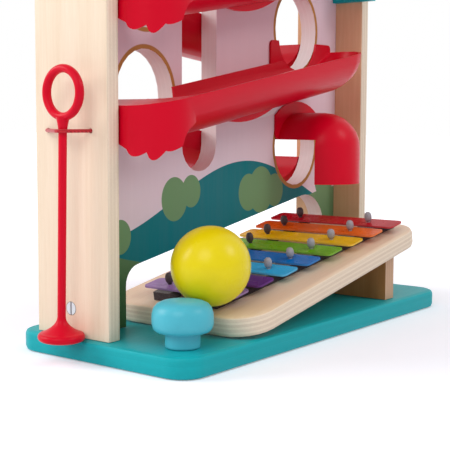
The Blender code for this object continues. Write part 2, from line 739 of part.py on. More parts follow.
def ball_way(x, y, z, turn):
    """A level bore from a track's hollow to the centre panel, for a ball with its middle at z."""
    start = turn * CUT_OVERRUN
    end = turn * (TRACK_OUTER + CUT_OVERRUN)
    return cylinder("ball_way", (x, y + start, z), (x, y + end, z), BALL_WAY, RED_PLASTIC, 26)


def build_front_track(name, rise):
    """A front track: a cup with a collar at the right, a half-pipe, and a bowl at the left."""
    rim = front_rim(rise)
    made = trough(name, BOWL_X, RIGHT_PORT_X, FRONT_TRACK_Y, TRACK_OUTER, rim, False, True)
    join(made, bowl(rim, BOWL_X, FRONT_TRACK_Y, 0))
    cut(made, above_rim(rim, LEFT_OUTER_X, RIGHT_OUTER_X, FRONT_TRACK_Y))
    join(made, fin(rim))
    low_z = rim(RIGHT_PORT_X) - COLLAR_DROP
    outline = rounded_rectangle(
        (RIGHT_PORT_X - COLLAR_LEFT_ARM, low_z), (RIGHT_PORT_X + COLLAR_RIGHT_ARM, COLLAR_TOP + rise),
        COLLAR_CORNER, 3)
    plate = prism(outline, TRACK_BACK_Y - FLANGE_THICKNESS, TRACK_BACK_Y, "Y")
    join(made, add_object("collar", plate, RED_PLASTIC))
    *pipe_pegs, bowl_peg = front_peg_places(rise)
    for x, z in pipe_pegs:
        join(made, peg(x, z, 1))
    join(made, peg(*bowl_peg, 1, BOWL_PEG_ROOT))
    cut(made, trough("hollow", LEFT_PORT_X, RIGHT_PORT_X, FRONT_TRACK_Y, TRACK_INNER, rim, True, True))
    cut(made, ball_way(LEFT_PORT_X, FRONT_TRACK_Y, rim(LEFT_PORT_X), 1))
    cut(made, ball_way(RIGHT_PORT_X, FRONT_TRACK_Y, rim(RIGHT_PORT_X) + FRONT_DROP, 1))
    return made


def build_rear_track(name, height, fall):
    """A rear track: a half-pipe open to a window at each end, with a cup at the left and a bowl."""
    rim = rear_rim(height, fall)
    made = trough(name, LEFT_PORT_X, REAR_BOWL_X, REAR_TRACK_Y, TRACK_OUTER, rim, True, False)
    join(made, bowl(rim, REAR_BOWL_X, REAR_TRACK_Y, 180))
    cut(made, above_rim(rim, LEFT_OUTER_X, RIGHT_OUTER_X, REAR_TRACK_Y))
    for x, z in rear_peg_places(height, fall):
        join(made, peg(x, z, -1))
    cut(made, trough("hollow", LEFT_PORT_X, RIGHT_PORT_X, REAR_TRACK_Y, TRACK_INNER, rim, True, True))
    cut(made, ball_way(LEFT_PORT_X, REAR_TRACK_Y, rim(LEFT_PORT_X) + REAR_DROP, -1))
    cut(made, ball_way(RIGHT_PORT_X, REAR_TRACK_Y, rim(RIGHT_PORT_X), -1))
    return made


# Chute hood over the lower right window

def elbow(name, radius, rear_y, bottom):
    """Half of a round elbow: level from the window, round a quarter sphere, and straight down."""
    stations = [(rear_y, HOOD_CENTRE_Z, 0.0)]
    stations += [(FRONT_TRACK_Y, HOOD_CENTRE_Z, math.pi / 2 * step / 6) for step in range(7)]
    stations.append((FRONT_TRACK_Y, bottom, math.pi / 2))
    bm = bmesh.new()
    rows = []
    for y, z, turn in stations:
        row = []
        for side in range(PIPE_SIDES + 1):
            angle = math.pi * side / PIPE_SIDES
            out = radius * math.sin(angle)
            row.append(bm.verts.new((RIGHT_PORT_X - radius * math.cos(angle), y - out * math.sin(turn),
                                     z + out * math.cos(turn))))
        rows.append(row)
    skin_rows(bm, rows)
    return add_object(name, bm, RED_PLASTIC)


def hood_flange():
    """The plate against the panel: straight sides under a flat arc."""
    half = HOOD_FLANGE_WIDTH / 2
    corner = HOOD_FLANGE_CORNER
    sweep = math.degrees(math.asin(half / HOOD_FLANGE_ARC))
    points = arc((RIGHT_PORT_X, HOOD_FLANGE_TOP - HOOD_FLANGE_ARC), HOOD_FLANGE_ARC, 90 - sweep, 90 + sweep, 10)
    points += arc((RIGHT_PORT_X - half + corner, HOOD_SIDE_BOTTOM + corner), corner, 180, 270, 4)
    points += arc((RIGHT_PORT_X + half - corner, HOOD_SIDE_BOTTOM + corner), corner, 270, 360, 4)
    return add_object("flange", prism(points, TRACK_BACK_Y - FLANGE_THICKNESS, TRACK_BACK_Y, "Y"), RED_PLASTIC)


def build_hood():
    rear_y = CENTRE_FRONT_Y + HOOD_SPIGOT
    made = elbow("chute_hood", TRACK_OUTER, rear_y, HOOD_FRONT_BOTTOM)
    cut(made, box(
        "open_side", (RIGHT_PORT_X - HOOD_FLANGE_WIDTH, FRONT + HOOD_CHEEK_Y, HOOD_FRONT_BOTTOM - CUT_OVERRUN),
        (RIGHT_PORT_X + HOOD_FLANGE_WIDTH, rear_y + CUT_OVERRUN, HOOD_SIDE_BOTTOM), RED_PLASTIC))
    join(made, hood_flange())
    cut(made, elbow("hollow", TRACK_INNER, rear_y + CUT_OVERRUN, HOOD_FRONT_BOTTOM - CUT_OVERRUN))
    return made


# Xylophone: a sloping board on a plank, two felt rails, eight metal keys and their pins

def xylo_matrix():
    """From the board's own frame (X along it, Z off its underside) to the bench."""
    corner = Vector((LEFT + XYLO_START_X, 0, STAND_Z))
    return Matrix.Translation(corner) @ Matrix.Rotation(-XYLO_SLOPE, 4, "Y")


def key_place(index):
    """A key's middle, along the board."""
    return FIRST_KEY_PLACE + KEY_PITCH * index


def key_length(index):
    return SHORT_KEY_LENGTH + (LONG_KEY_LENGTH - SHORT_KEY_LENGTH) * index / (KEY_COUNT - 1)


def pin_spread(along):
    """Distance of the pins from the keys' middle line."""
    span = key_place(KEY_COUNT - 1) - key_place(0)
    return SHORT_PIN_SPREAD + (LONG_PIN_SPREAD - SHORT_PIN_SPREAD) * (along - key_place(0)) / span


def pin_places():
    """Pin centres in the board's frame, as (along, y): front row, then back row."""
    places = []
    for side in (-1, 1):
        for index in range(KEY_COUNT):
            along = key_place(index)
            places.append((along, FRONT + KEY_CENTRE_Y + side * pin_spread(along)))
    return places


def build_xylo_board():
    front = FRONT + XYLO_FRONT
    made = board("xylophone_board", (0, front), (XYLO_LENGTH, front + XYLO_WIDTH), 0, XYLO_THICKNESS,
                 XYLO_CORNER, PLYWOOD)
    for along, y in pin_places():
        cut(made, cylinder("pin_hole", (along, y, XYLO_THICKNESS - PIN_DEPTH - SEAT_GAP),
                           (along, y, XYLO_THICKNESS + CUT_OVERRUN), PIN_HOLE_RADIUS, PLYWOOD, 7))
    made.data.transform(xylo_matrix())
    return made


def build_rail(name, side):
    """A felt strip under one row of pins, with a hole for each."""
    middle = FRONT + KEY_CENTRE_Y
    half = RAIL_WIDTH / 2
    start_y = middle + side * SHORT_RAIL_SPREAD
    end_y = middle + side * LONG_RAIL_SPREAD
    outline = ((RAIL_START, start_y - half), (RAIL_END, end_y - half), (RAIL_END, end_y + half),
               (RAIL_START, start_y + half))
    made = add_object(name, prism(outline, RAIL_BOTTOM, RAIL_TOP), FELT, False)
    for along, y in pin_places():
        if (y - middle) * side > 0:
            cut(made, cylinder("pin_hole", (along, y, RAIL_BOTTOM - CUT_OVERRUN),
                               (along, y, RAIL_TOP + CUT_OVERRUN), PIN_HOLE_RADIUS, FELT, 7))
    made.data.transform(xylo_matrix())
    return made


def build_key(name, index, finish):
    """One key: a thin bar with round corners and two pin holes."""
    along = key_place(index)
    half = key_length(index) / 2
    middle = FRONT + KEY_CENTRE_Y
    outline = rounded_rectangle(
        (along - KEY_WIDTH / 2, middle - half), (along + KEY_WIDTH / 2, middle + half), KEY_CORNER, 3)
    made = add_object(name, prism(outline, KEY_BOTTOM, KEY_TOP), finish)
    for side in (-1, 1):
        y = middle + side * pin_spread(along)
        cut(made, cylinder("pin_hole", (along, y, KEY_BOTTOM - CUT_OVERRUN), (along, y, KEY_TOP + CUT_OVERRUN),
                           PIN_HOLE_RADIUS, finish, 8))
    made.data.transform(xylo_matrix())
    return made


def build_pins():
    """The pins, two to a key: each is a shank under an egg-shaped cap."""
    cap_low = KEY_TOP + CAP_LIFT
    shank_low = XYLO_THICKNESS - PIN_DEPTH
    profile = [(0, shank_low), (PIN_RADIUS, shank_low), (PIN_RADIUS, cap_low)]
    for width_share, height_share in zip(CAP_WIDTH_SHARES, CAP_HEIGHT_SHARES):
        profile.append((CAP_RADIUS * width_share, cap_low + CAP_HEIGHT * height_share))
    profile.append((0, cap_low + CAP_HEIGHT))
    names = [colour_name + "_pin_" + row for row in ("front", "back") for colour_name, _ in KEY_FINISHES]
    for name, (along, y) in zip(names, pin_places()):
        turned(name, profile, xylo_matrix() @ Matrix.Translation((along, y, 0)), CAP_GREY, 7)


def build_support():
    """The plank that holds up the xylophone's high end, its top cut to the slope."""
    low_x = LEFT + SUPPORT_X
    high_x = low_x + SUPPORT_THICKNESS
    seat = STAND_Z - SEAT_GAP / math.cos(XYLO_SLOPE)
    start_x = LEFT + XYLO_START_X
    rise = math.tan(XYLO_SLOPE)
    outline = ((low_x, STAND_Z), (high_x, STAND_Z), (high_x, seat + (high_x - start_x) * rise),
               (low_x, seat + (low_x - start_x) * rise))
    near = FRONT + SUPPORT_FRONT
    return add_object("xylophone_support", prism(outline, near, near + SUPPORT_DEPTH, "Y"), PLYWOOD, False)


# Stop, and the ball that rests between it and the lowest key

def build_stop():
    edge = STOP_HEAD_HEIGHT / 2
    middle = STOP_HEAD_BOTTOM + edge
    flat = STOP_HEAD_RADIUS - edge
    spigot_low = BASE_THICKNESS - STOP_SPIGOT_DEPTH
    profile = [(0, spigot_low), (STOP_SPIGOT_RADIUS, spigot_low), (STOP_SPIGOT_RADIUS, STAND_Z),
               (STOP_STEM_RADIUS, STAND_Z)]
    meet = math.degrees(math.acos((STOP_STEM_RADIUS - flat) / edge))
    profile += arc((flat, middle), edge, -meet, 90, 6)
    profile.append((0, STOP_HEAD_BOTTOM + STOP_HEAD_HEIGHT))
    return turned("stop_mushroom", profile, Matrix.Translation((LEFT + STOP_X, FRONT + STOP_Y, 0)),
                  PALE_TEAL, 24)


def rest_ball_centre():
    """Centre of the ball that lies against the lowest key's edge and the rounded stop."""
    reach = BALL_RADIUS + SEAT_GAP
    edge = xylo_matrix() @ Vector((key_place(0) - KEY_WIDTH / 2, 0, KEY_TOP))
    round_edge = STOP_HEAD_HEIGHT / 2
    stop_z = STOP_HEAD_BOTTOM + round_edge
    flat = STOP_HEAD_RADIUS - round_edge
    y = FRONT + REST_BALL_Y

    def centre_at(angle):
        return Vector((edge.x - reach * math.sin(angle), y, edge.z + reach * math.cos(angle)))

    low = 0.0
    high = math.radians(70)
    for _ in range(40):
        middle = (low + high) / 2
        centre = centre_at(middle)
        out = math.hypot(centre.x - LEFT - STOP_X, centre.y - FRONT - STOP_Y) - flat
        if math.hypot(out, centre.z - stop_z) > round_edge + reach:
            low = middle
        else:
            high = middle
    return centre_at(low)


# Mallet: a ring, a thin stem and a flared foot, moulded in one

def mallet_ends():
    """The foot's underside and the middle of the ring."""
    foot = Vector((LEFT + MALLET_X, FRONT + MALLET_FOOT_Y, STAND_Z))
    ring = Vector((LEFT + MALLET_X, FRONT + MALLET_RING_Y, MALLET_RING_Z))
    return foot, ring


def build_mallet():
    foot, ring = mallet_ends()
    lean = (ring - foot).to_track_quat("Z", "Y").to_matrix().to_4x4()
    neck_top = (ring - foot).length - (MALLET_RING_HEIGHT - MALLET_RING_SECTION) / 2
    edge = MALLET_FOOT_HEIGHT / 2
    rim = MALLET_FOOT_RADIUS - edge
    profile = [(0, SEAT_GAP)]
    profile += [(a, b + SEAT_GAP) for a, b in arc((rim, edge), edge, -90, 90, 6)]
    for step in range(1, 7):
        slim = (1 - step / 6) ** FLARE_POWER
        profile.append((MALLET_STEM_RADIUS + (rim - MALLET_STEM_RADIUS) * slim,
                        MALLET_FOOT_HEIGHT + SEAT_GAP + MALLET_FLARE_HEIGHT * step / 6))
    profile += [(MALLET_STEM_RADIUS, neck_top - MALLET_NECK_LENGTH), (MALLET_NECK_RADIUS, neck_top), (0, neck_top)]
    made = turned("mallet", profile, Matrix.Translation(foot) @ lean, RED_PLASTIC, 20)
    half = MALLET_RING_THICKNESS / 2
    centre = (ring.y, ring.z)
    outer = ellipse(centre, MALLET_RING_WIDTH, MALLET_RING_HEIGHT, 28)
    join(made, add_object("hoop", prism(outer, ring.x - half, ring.x + half, "X"), RED_PLASTIC))
    inner = ellipse(centre, MALLET_RING_WIDTH - 2 * MALLET_RING_SECTION,
                    MALLET_RING_HEIGHT - 2 * MALLET_RING_SECTION, 28)
    cut(made, add_object("finger_hole", prism(
        inner, ring.x - MALLET_RING_THICKNESS, ring.x + MALLET_RING_THICKNESS, "X"), RED_PLASTIC))
    set_origin(made, foot)
    return made


# Elastic cords, each a loop from two blind holes in a side panel

def tube(name, points, finish):
    """A round cord along a route, with closed ends."""
    curve = bpy.data.curves.new(name, "CURVE")
    curve.dimensions = "3D"
    curve.bevel_depth = CORD_RADIUS
    curve.bevel_resolution = 1
    curve.use_fill_caps = True
    spline = curve.splines.new("POLY")
    spline.points.add(len(points) - 1)
    for point, place in zip(spline.points, points):
        point.co = (*place, 1.0)
    guide = bpy.data.objects.new(name, curve)
    bpy.context.scene.collection.objects.link(guide)
    bpy.context.view_layer.update()
    mesh = bpy.data.meshes.new_from_object(guide.evaluated_get(bpy.context.evaluated_depsgraph_get()))
    bpy.data.objects.remove(guide, do_unlink=True)
    bm = bmesh.new()
    bm.from_mesh(mesh)
    bpy.data.meshes.remove(mesh)
    bmesh.ops.remove_doubles(bm, verts=bm.verts, dist=WELD_DISTANCE)
    return add_object(name, bm, finish)


def build_cord(name, outer_x, inward, ys, z, post, post_radius):
    """A cord from one blind hole, tightly round a post's far side, and into the other hole."""
    reach = post_radius + SEAT_GAP + CORD_RADIUS
    deep = outer_x + inward * CORD_HOLE_DEPTH
    mouth = outer_x - inward * CORD_RADIUS
    route = [Vector((deep, ys[0], z)), Vector((mouth, ys[0], z))]
    for step in range(CORD_TURNS + 1):
        place = post_point(mouth, ys, post, reach, step / CORD_TURNS)
        route.append(Vector((place[0], place[1], z)))
    route += [Vector((mouth, ys[1], z)), Vector((deep, ys[1], z))]
    return tube(name, route, ELASTIC)


def post_point(mouth, ys, post, reach, share):
    """A point on the cord's arc round the post, from the front run (0) to the rear run (1)."""
    away = math.copysign(1, post[0] - mouth)
    angles = []
    for y, side in zip(ys, (-1, 1)):
        back = math.atan2(y - post[1], abs(mouth - post[0]))
        distance = math.hypot(mouth - post[0], y - post[1])
        angles.append(back + side * math.acos(reach / distance))
    start, end = angles
    start += 2 * math.pi
    angle = start + (end - start) * share
    return post[0] - away * reach * math.cos(angle), post[1] + reach * math.sin(angle)


# Hammer

def build_hammer():
    """The head and the handle, under one empty on the line along which the hammer lifts out."""
    grip = bpy.data.objects.new("hammer", None)
    bpy.context.scene.collection.objects.link(grip)
    grip.location = (HAMMER_X, SIDE_MID_Y, HAMMER_HEAD_Z)
    half = HAMMER_HEAD_LENGTH / 2
    corner = HAMMER_HEAD_ROUND
    profile = [(0, -half)] + arc((HAMMER_HEAD_RADIUS - corner, corner - half), corner, -90, 0, 2)
    profile += arc((HAMMER_HEAD_RADIUS - corner, half - corner), corner, 0, 90, 2) + [(0, half)]
    head = turned("hammer_head", profile, Matrix.Rotation(math.pi / 2, 4, "X"), BEECH, 22)
    socket_top = HAMMER_SOCKET_DEPTH - HAMMER_HEAD_RADIUS
    cut(head, cylinder("socket", (0, 0, -HAMMER_HEAD_RADIUS - CUT_OVERRUN), (0, 0, socket_top + SEAT_GAP),
                       HAMMER_HANDLE_RADIUS + HOLE_GAP, BEECH, 20))
    low = HAMMER_HANDLE_BOTTOM - HAMMER_HEAD_Z
    corner = HAMMER_HANDLE_RADIUS / 2
    profile = [(0, low)] + arc((HAMMER_HANDLE_RADIUS - corner, low + corner), corner, -90, 0, 3)
    profile += [(HAMMER_HANDLE_RADIUS, socket_top), (0, socket_top)]
    handle = turned("hammer_handle", profile, Matrix.Identity(4), BEECH, 20)
    head.parent = grip
    handle.parent = grip


# Fasteners

def build_nuts():
    """Slotted barrel nuts in the side panels, cross-bored for the bolts."""
    for side, (outer_x, inward) in zip(("left", "right"), BOLT_PLACES):
        mid_x = outer_x + inward * SIDE_THICKNESS / 2
        for level, z in (("lower", NUT_HEIGHT), ("upper", UPPER_NUT_Z)):
            reach = 2 * NUT_RADIUS
            nut = cylinder(level + "_" + side + "_barrel_nut", (outer_x, BOLT_Y, z),
                           (outer_x + inward * NUT_LENGTH, BOLT_Y, z), NUT_RADIUS, STEEL, 20)
            cut(nut, cylinder("thread", (mid_x, BOLT_Y, z - reach), (mid_x, BOLT_Y, z + reach),
                              BOLT_HOLE_RADIUS, STEEL, 12))
            faces = sorted((outer_x - inward * CUT_OVERRUN, outer_x + inward * NUT_SLOT_DEPTH))
            cut(nut, box("slot", (faces[0], BOLT_Y - NUT_SLOT_WIDTH / 2, z - reach),
                         (faces[1], BOLT_Y + NUT_SLOT_WIDTH / 2, z + reach), STEEL))


def build_bolts(name, seat, tip):
    """Two bolts: a shank from its tip to its seat, with a chamfered head past the seat."""
    past = math.copysign(BOLT_HEAD_HEIGHT, seat - tip)
    profile = ((0, tip), (BOLT_RADIUS, tip), (BOLT_RADIUS, seat), (BOLT_HEAD_RADIUS, seat),
               (BOLT_HEAD_RADIUS, seat + past / 2), (BOLT_RADIUS, seat + past), (0, seat + past))
    for side, (outer_x, inward) in zip(("left", "right"), BOLT_PLACES):
        place = Matrix.Translation((outer_x + inward * SIDE_THICKNESS / 2, BOLT_Y, 0))
        turned(name + "_" + side, profile, place, STEEL, 14)


KEY_FINISHES = (
    ("lilac", (0.400, 0.220, 0.520)), ("purple", (0.180, 0.020, 0.300)),
    ("light_blue", (0.100, 0.540, 0.830)), ("blue", (0.010, 0.190, 0.580)),
    ("green", (0.160, 0.430, 0.012)), ("yellow", (0.870, 0.540, 0.004)),
    ("orange", (0.870, 0.160, 0.008)), ("red", (0.580, 0.006, 0.020)))


def build_tower():
    """The base, the panels, the deck and everything that the balls run through."""
    mallet_ys = (FRONT + MALLET_CORD_FRONT, FRONT + MALLET_CORD_REAR)
    hammer_ys = (SIDE_MID_Y - HAMMER_CORD_SPAN / 2, SIDE_MID_Y + HAMMER_CORD_SPAN / 2)
    build_base()
    build_side("left_side_panel", LEFT_OUTER_X, 1, [(y, MALLET_CORD_Z) for y in mallet_ys])
    build_side("right_side_panel", RIGHT_OUTER_X, -1, [(y, HAMMER_CORD_Z) for y in hammer_ys])
    build_centre()
    build_deck()
    for name, x in zip(("deck_ring_left", "deck_ring_center", "deck_ring_right"), DECK_HOLES):
        build_ring(name, x)
    build_lane_board()
    build_front_track("upper_front_track", LEVEL_RISE)
    build_front_track("lower_front_track", 0.0)
    build_rear_track("upper_rear_track", REAR_UPPER_RIM, REAR_UPPER_FALL)
    build_rear_track("lower_rear_track", REAR_LOWER_RIM, REAR_LOWER_FALL)
    build_hood()
    foot, ring = mallet_ends()
    stem = foot + (ring - foot) * ((MALLET_CORD_Z - foot.z) / (ring.z - foot.z))
    build_cord("mallet_cord", LEFT_OUTER_X, 1, mallet_ys, MALLET_CORD_Z, (stem.x, stem.y), MALLET_STEM_RADIUS)
    build_cord("hammer_cord", RIGHT_OUTER_X, -1, hammer_ys, HAMMER_CORD_Z, (HAMMER_X, SIDE_MID_Y),
               HAMMER_HANDLE_RADIUS)


def build_xylophone():
    build_xylo_board()
    build_support()
    build_rail("front_key_rail", -1)
    build_rail("back_key_rail", 1)
    for index, (colour_name, colour) in enumerate(KEY_FINISHES):
        build_key(colour_name + "_key", index, material(colour_name + "_enamel", colour, 0.25, 0.3))
    build_pins()
    build_stop()


def build_loose_pieces():
    ball("ball_yellow", rest_ball_centre(), YELLOW_PAINT)
    ball("ball_red", (DECK_HOLES[0], FRONT_TRACK_Y, deck_ball_z()), RED_PAINT)
    ball("ball_green", (DECK_HOLES[-1], FRONT_TRACK_Y, deck_ball_z()), GREEN_PAINT)
    build_mallet()
    build_hammer()


def build_fasteners():
    build_nuts()
    build_bolts("base_bolt", BOLT_HEAD_HEIGHT + SEAT_GAP, NUT_HEIGHT + BOLT_TIP)
    build_bolts("deck_bolt", DECK_TOP + SEAT_GAP, UPPER_NUT_Z - BOLT_TIP)


build_tower()
build_xylophone()
build_loose_pieces()
build_fasteners()
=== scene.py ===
import bmesh
import bpy
import json
import math
from mathutils import Matrix, Vector

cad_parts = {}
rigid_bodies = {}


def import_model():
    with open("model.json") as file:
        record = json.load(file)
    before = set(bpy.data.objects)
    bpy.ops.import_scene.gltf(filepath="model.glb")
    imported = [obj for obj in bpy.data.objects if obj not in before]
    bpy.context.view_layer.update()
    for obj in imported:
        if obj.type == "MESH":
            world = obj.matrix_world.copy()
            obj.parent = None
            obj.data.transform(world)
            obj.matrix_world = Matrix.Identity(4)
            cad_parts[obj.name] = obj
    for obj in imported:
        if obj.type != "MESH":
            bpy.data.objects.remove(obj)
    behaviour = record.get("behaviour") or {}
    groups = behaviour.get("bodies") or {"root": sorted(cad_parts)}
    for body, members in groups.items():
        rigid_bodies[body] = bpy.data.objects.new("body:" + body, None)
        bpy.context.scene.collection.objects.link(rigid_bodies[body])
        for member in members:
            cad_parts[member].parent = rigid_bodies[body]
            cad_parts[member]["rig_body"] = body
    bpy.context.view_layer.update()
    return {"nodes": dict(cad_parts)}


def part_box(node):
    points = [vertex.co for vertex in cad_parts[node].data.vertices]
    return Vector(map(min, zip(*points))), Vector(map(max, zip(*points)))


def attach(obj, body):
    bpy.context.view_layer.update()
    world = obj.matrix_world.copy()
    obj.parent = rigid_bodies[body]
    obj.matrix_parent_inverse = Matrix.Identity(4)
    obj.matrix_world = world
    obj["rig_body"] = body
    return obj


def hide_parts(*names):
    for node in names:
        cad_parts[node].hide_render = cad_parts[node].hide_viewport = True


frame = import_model()

# Camera
# It looks along the bench from the left and the front, a little above the base board.
# The place, turn and lens were solved from the boards' edges in the photograph.
camera_place = Vector((-0.5336, -0.3896, 0.1342))
yaw = math.radians(51.92)
pitch = math.radians(5.37)
roll = math.radians(0.149)
camera_data = bpy.data.cameras.new("camera")
camera_data.lens = 82.77
camera_data.sensor_width = 36.0
camera_data.shift_x = 0.0211
camera_data.shift_y = -0.0256
camera_data.clip_start = 0.01
camera = bpy.data.objects.new("camera", camera_data)
bpy.context.scene.collection.objects.link(camera)
look = Vector((math.sin(yaw) * math.cos(pitch), math.cos(yaw) * math.cos(pitch), -math.sin(pitch)))
level = Vector((math.cos(yaw), -math.sin(yaw), 0.0))
upright = level.cross(look)
across = level * math.cos(roll) + upright * math.sin(roll)
upright = upright * math.cos(roll) - level * math.sin(roll)
turn = Matrix((across, upright, -look)).transposed().to_4x4()
camera.matrix_world = Matrix.Translation(camera_place) @ turn
bpy.context.scene.camera = camera


# Base board
# A plywood board with round corners under an even coat of teal paint. The plies show
# faintly as ridges on its edges, and the paint is a little worn along the rounded rims.

def step_node(tree, kind, inputs=None, **settings):
    """Add a shader node, with its settings, links and values."""
    made = tree.nodes.new(kind)
    for key, value in settings.items():
        setattr(made, key, value)
    for key, value in (inputs or {}).items():
        if isinstance(value, bpy.types.NodeSocket):
            tree.links.new(value, made.inputs[key])
        else:
            made.inputs[key].default_value = value
    return made


def sum_node(tree, operation, first, second=0.0, third=0.0):
    """The result of a Math node."""
    made = step_node(tree, "ShaderNodeMath", {0: first, 1: second, 2: third}, operation=operation)
    return made.outputs[0]


def times(tree, first, second):
    """The product of two values."""
    return sum_node(tree, "MULTIPLY", first, second)


def weighted(tree, value, weight, rest):
    """A value times its weight, with the rest added."""
    return sum_node(tree, "MULTIPLY_ADD", value, weight, rest)


def size_of(tree, value):
    """A value without its sign."""
    return sum_node(tree, "ABSOLUTE", value)


def blend_node(tree, share, first, second):
    """The colour between two colours, each a socket or its red, green and blue."""
    ends = [end if isinstance(end, bpy.types.NodeSocket) else (*end, 1.0) for end in (first, second)]
    made = step_node(tree, "ShaderNodeMix", {"Factor": share, 6: ends[0], 7: ends[1]}, data_type="RGBA")
    return made.outputs[2]


def ramp_node(tree, value, low, high, low_out=0.0, high_out=1.0):
    """A value stretched from one range to another, and kept in it."""
    made = step_node(tree, "ShaderNodeMapRange", {
        "Value": value, "From Min": low, "From Max": high, "To Min": low_out, "To Max": high_out})
    return made.outputs[0]


def noise_node(tree, vector, scale, detail, roughness=0.5, distortion=0.0):
    """The value of a Noise node."""
    made = step_node(tree, "ShaderNodeTexNoise", {
        "Vector": vector, "Scale": scale, "Detail": detail,
        "Roughness": roughness, "Distortion": distortion})
    return made.outputs[0]


def streak_noise(tree, vector, stretch, detail, roughness=0.5, distortion=0.0):
    """Noise on a vector with each axis multiplied by its own stretch."""
    long_way = step_node(tree, "ShaderNodeMapping", {"Vector": vector, "Scale": stretch}).outputs[0]
    return noise_node(tree, long_way, 1.0, detail, roughness, distortion)


def turned_way(tree, vector, angles, kind="POINT"):
    """A place or a normal turned about the axes."""
    made = step_node(tree, "ShaderNodeMapping", {"Vector": vector, "Rotation": angles}, vector_type=kind)
    return made.outputs[0]


def axis_values(tree, vector):
    """A vector's values along X, Y and Z."""
    return step_node(tree, "ShaderNodeSeparateXYZ", {0: vector}).outputs


def surface_normal(tree):
    """The way that the surface faces."""
    return tree.nodes.new("ShaderNodeNewGeometry").outputs["Normal"]


value_kind = "NodeSocketFloat"
vector_kind = "NodeSocketVector"


def new_group(name, inputs, outputs):
    """An empty shader group with its sockets: each is (name, type)."""
    group = bpy.data.node_groups.new(name, "ShaderNodeTree")
    for socket_name, kind in inputs:
        group.interface.new_socket(name=socket_name, in_out="INPUT", socket_type=kind)
    for socket_name, kind in outputs:
        group.interface.new_socket(name=socket_name, in_out="OUTPUT", socket_type=kind)
    return group, group.nodes.new("NodeGroupInput"), group.nodes.new("NodeGroupOutput")


def place_group(tree, group, inputs):
    """The outputs of a group placed in a material."""
    return step_node(tree, "ShaderNodeGroup", inputs, node_tree=group).outputs


def new_finish(name, roughness, coat=0.0, metallic=0.0, shine=0.2):
    """A Principled material: returns it, its tree, its shader and its object coordinates."""
    made = bpy.data.materials.new(name)
    made.use_nodes = True
    tree = made.node_tree
    shader = tree.nodes["Principled BSDF"]
    shader.inputs["Roughness"].default_value = roughness
    shader.inputs["Coat Weight"].default_value = coat
    shader.inputs["Coat Roughness"].default_value = 0.25
    shader.inputs["Specular IOR Level"].default_value = shine
    shader.inputs["Metallic"].default_value = metallic
    place = tree.nodes.new("ShaderNodeTexCoord").outputs["Object"]
    return made, tree, shader, place


def surface(tree, shader, colour, roughness):
    """A colour and a roughness that change over the surface."""
    tree.links.new(colour, shader.inputs["Base Color"])
    tree.links.new(roughness, shader.inputs["Roughness"])


def raise_surface(tree, shader, height, strength, distance):
    """A bump from a height, into the shader's normal."""
    bump = step_node(tree, "ShaderNodeBump", {
        "Height": height, "Strength": strength, "Distance": distance})
    tree.links.new(bump.outputs["Normal"], shader.inputs["Normal"])


def darker(colour, share):
    """A colour times a share."""
    return tuple(part * share for part in colour)


# wood figure: long streaks and fine fibres along the first axis of the vector
wood_figure, figure_in, figure_out = new_group(
    "wood_figure", [("Vector", vector_kind)], [("Streak", value_kind), ("Fibre", value_kind)])
drift_stretch = (3.5, 60.0, 60.0)
line_stretch = (22.0, 520.0, 520.0)
fibre_stretch = (150.0, 3200.0, 3200.0)
along_grain = figure_in.outputs["Vector"]
drift = streak_noise(wood_figure, along_grain, drift_stretch, detail=4.0, distortion=1.1)
lines = streak_noise(wood_figure, along_grain, line_stretch, detail=5.0, roughness=0.6, distortion=0.3)
fibres = streak_noise(wood_figure, along_grain, fibre_stretch, detail=2.0)
streak = weighted(wood_figure, drift, 0.55, times(wood_figure, lines, 0.45))
wood_figure.links.new(ramp_node(wood_figure, streak, 0.34, 0.66), figure_out.inputs["Streak"])
wood_figure.links.new(ramp_node(wood_figure, fibres, 0.3, 0.7), figure_out.inputs["Fibre"])

# ply layers: Depth is counted in layers from one face; every other layer is end grain
ply_layers, layers_in, layers_out = new_group(
    "ply_layers", [("Depth", value_kind), ("Along", vector_kind)],
    [("Tone", value_kind), ("Glue", value_kind)])
layer_number = sum_node(ply_layers, "FLOOR", layers_in.outputs["Depth"])
layer_share = sum_node(ply_layers, "FRACT", layers_in.outputs["Depth"])
end_grain = size_of(ply_layers, sum_node(ply_layers, "MODULO", layer_number, 2.0))
layer_shade = step_node(ply_layers, "ShaderNodeTexWhiteNoise", {"W": layer_number}, noise_dimensions="1D")
speckle = noise_node(ply_layers, layers_in.outputs["Along"], scale=900.0, detail=2.0)
tone = weighted(ply_layers, end_grain, 0.45, weighted(
    ply_layers, layer_shade.outputs["Value"], 0.30,
    times(ply_layers, sum_node(ply_layers, "SUBTRACT", speckle, 0.5), 0.5)))
from_middle = size_of(ply_layers, sum_node(ply_layers, "SUBTRACT", layer_share, 0.5))
ply_layers.links.new(tone, layers_out.inputs["Tone"])
ply_layers.links.new(ramp_node(ply_layers, from_middle, 0.40, 0.5), layers_out.inputs["Glue"])

# rim wear: patches on the surfaces that lean, between the level ones and the upright ones
rim_wear, wear_in, wear_out = new_group("rim_wear", [("Vector", vector_kind)], [("Wear", value_kind)])
flatness = size_of(rim_wear, axis_values(rim_wear, surface_normal(rim_wear))["Z"])
lean = times(rim_wear, ramp_node(rim_wear, flatness, 0.15, 0.5), ramp_node(rim_wear, flatness, 0.97, 0.8))
patch = noise_node(rim_wear, wear_in.outputs["Vector"], scale=70.0, detail=5.0)
rim_wear.links.new(times(rim_wear, lean, ramp_node(rim_wear, patch, 0.45, 0.65)), wear_out.inputs["Wear"])

teal_colour = (0.008, 0.410, 0.450)
teal_worn = (0.06, 0.52, 0.56)
teal_roughness = 0.42
grain_upright = (0.0, math.pi / 2, 0.0)
base_layer = 0.0024


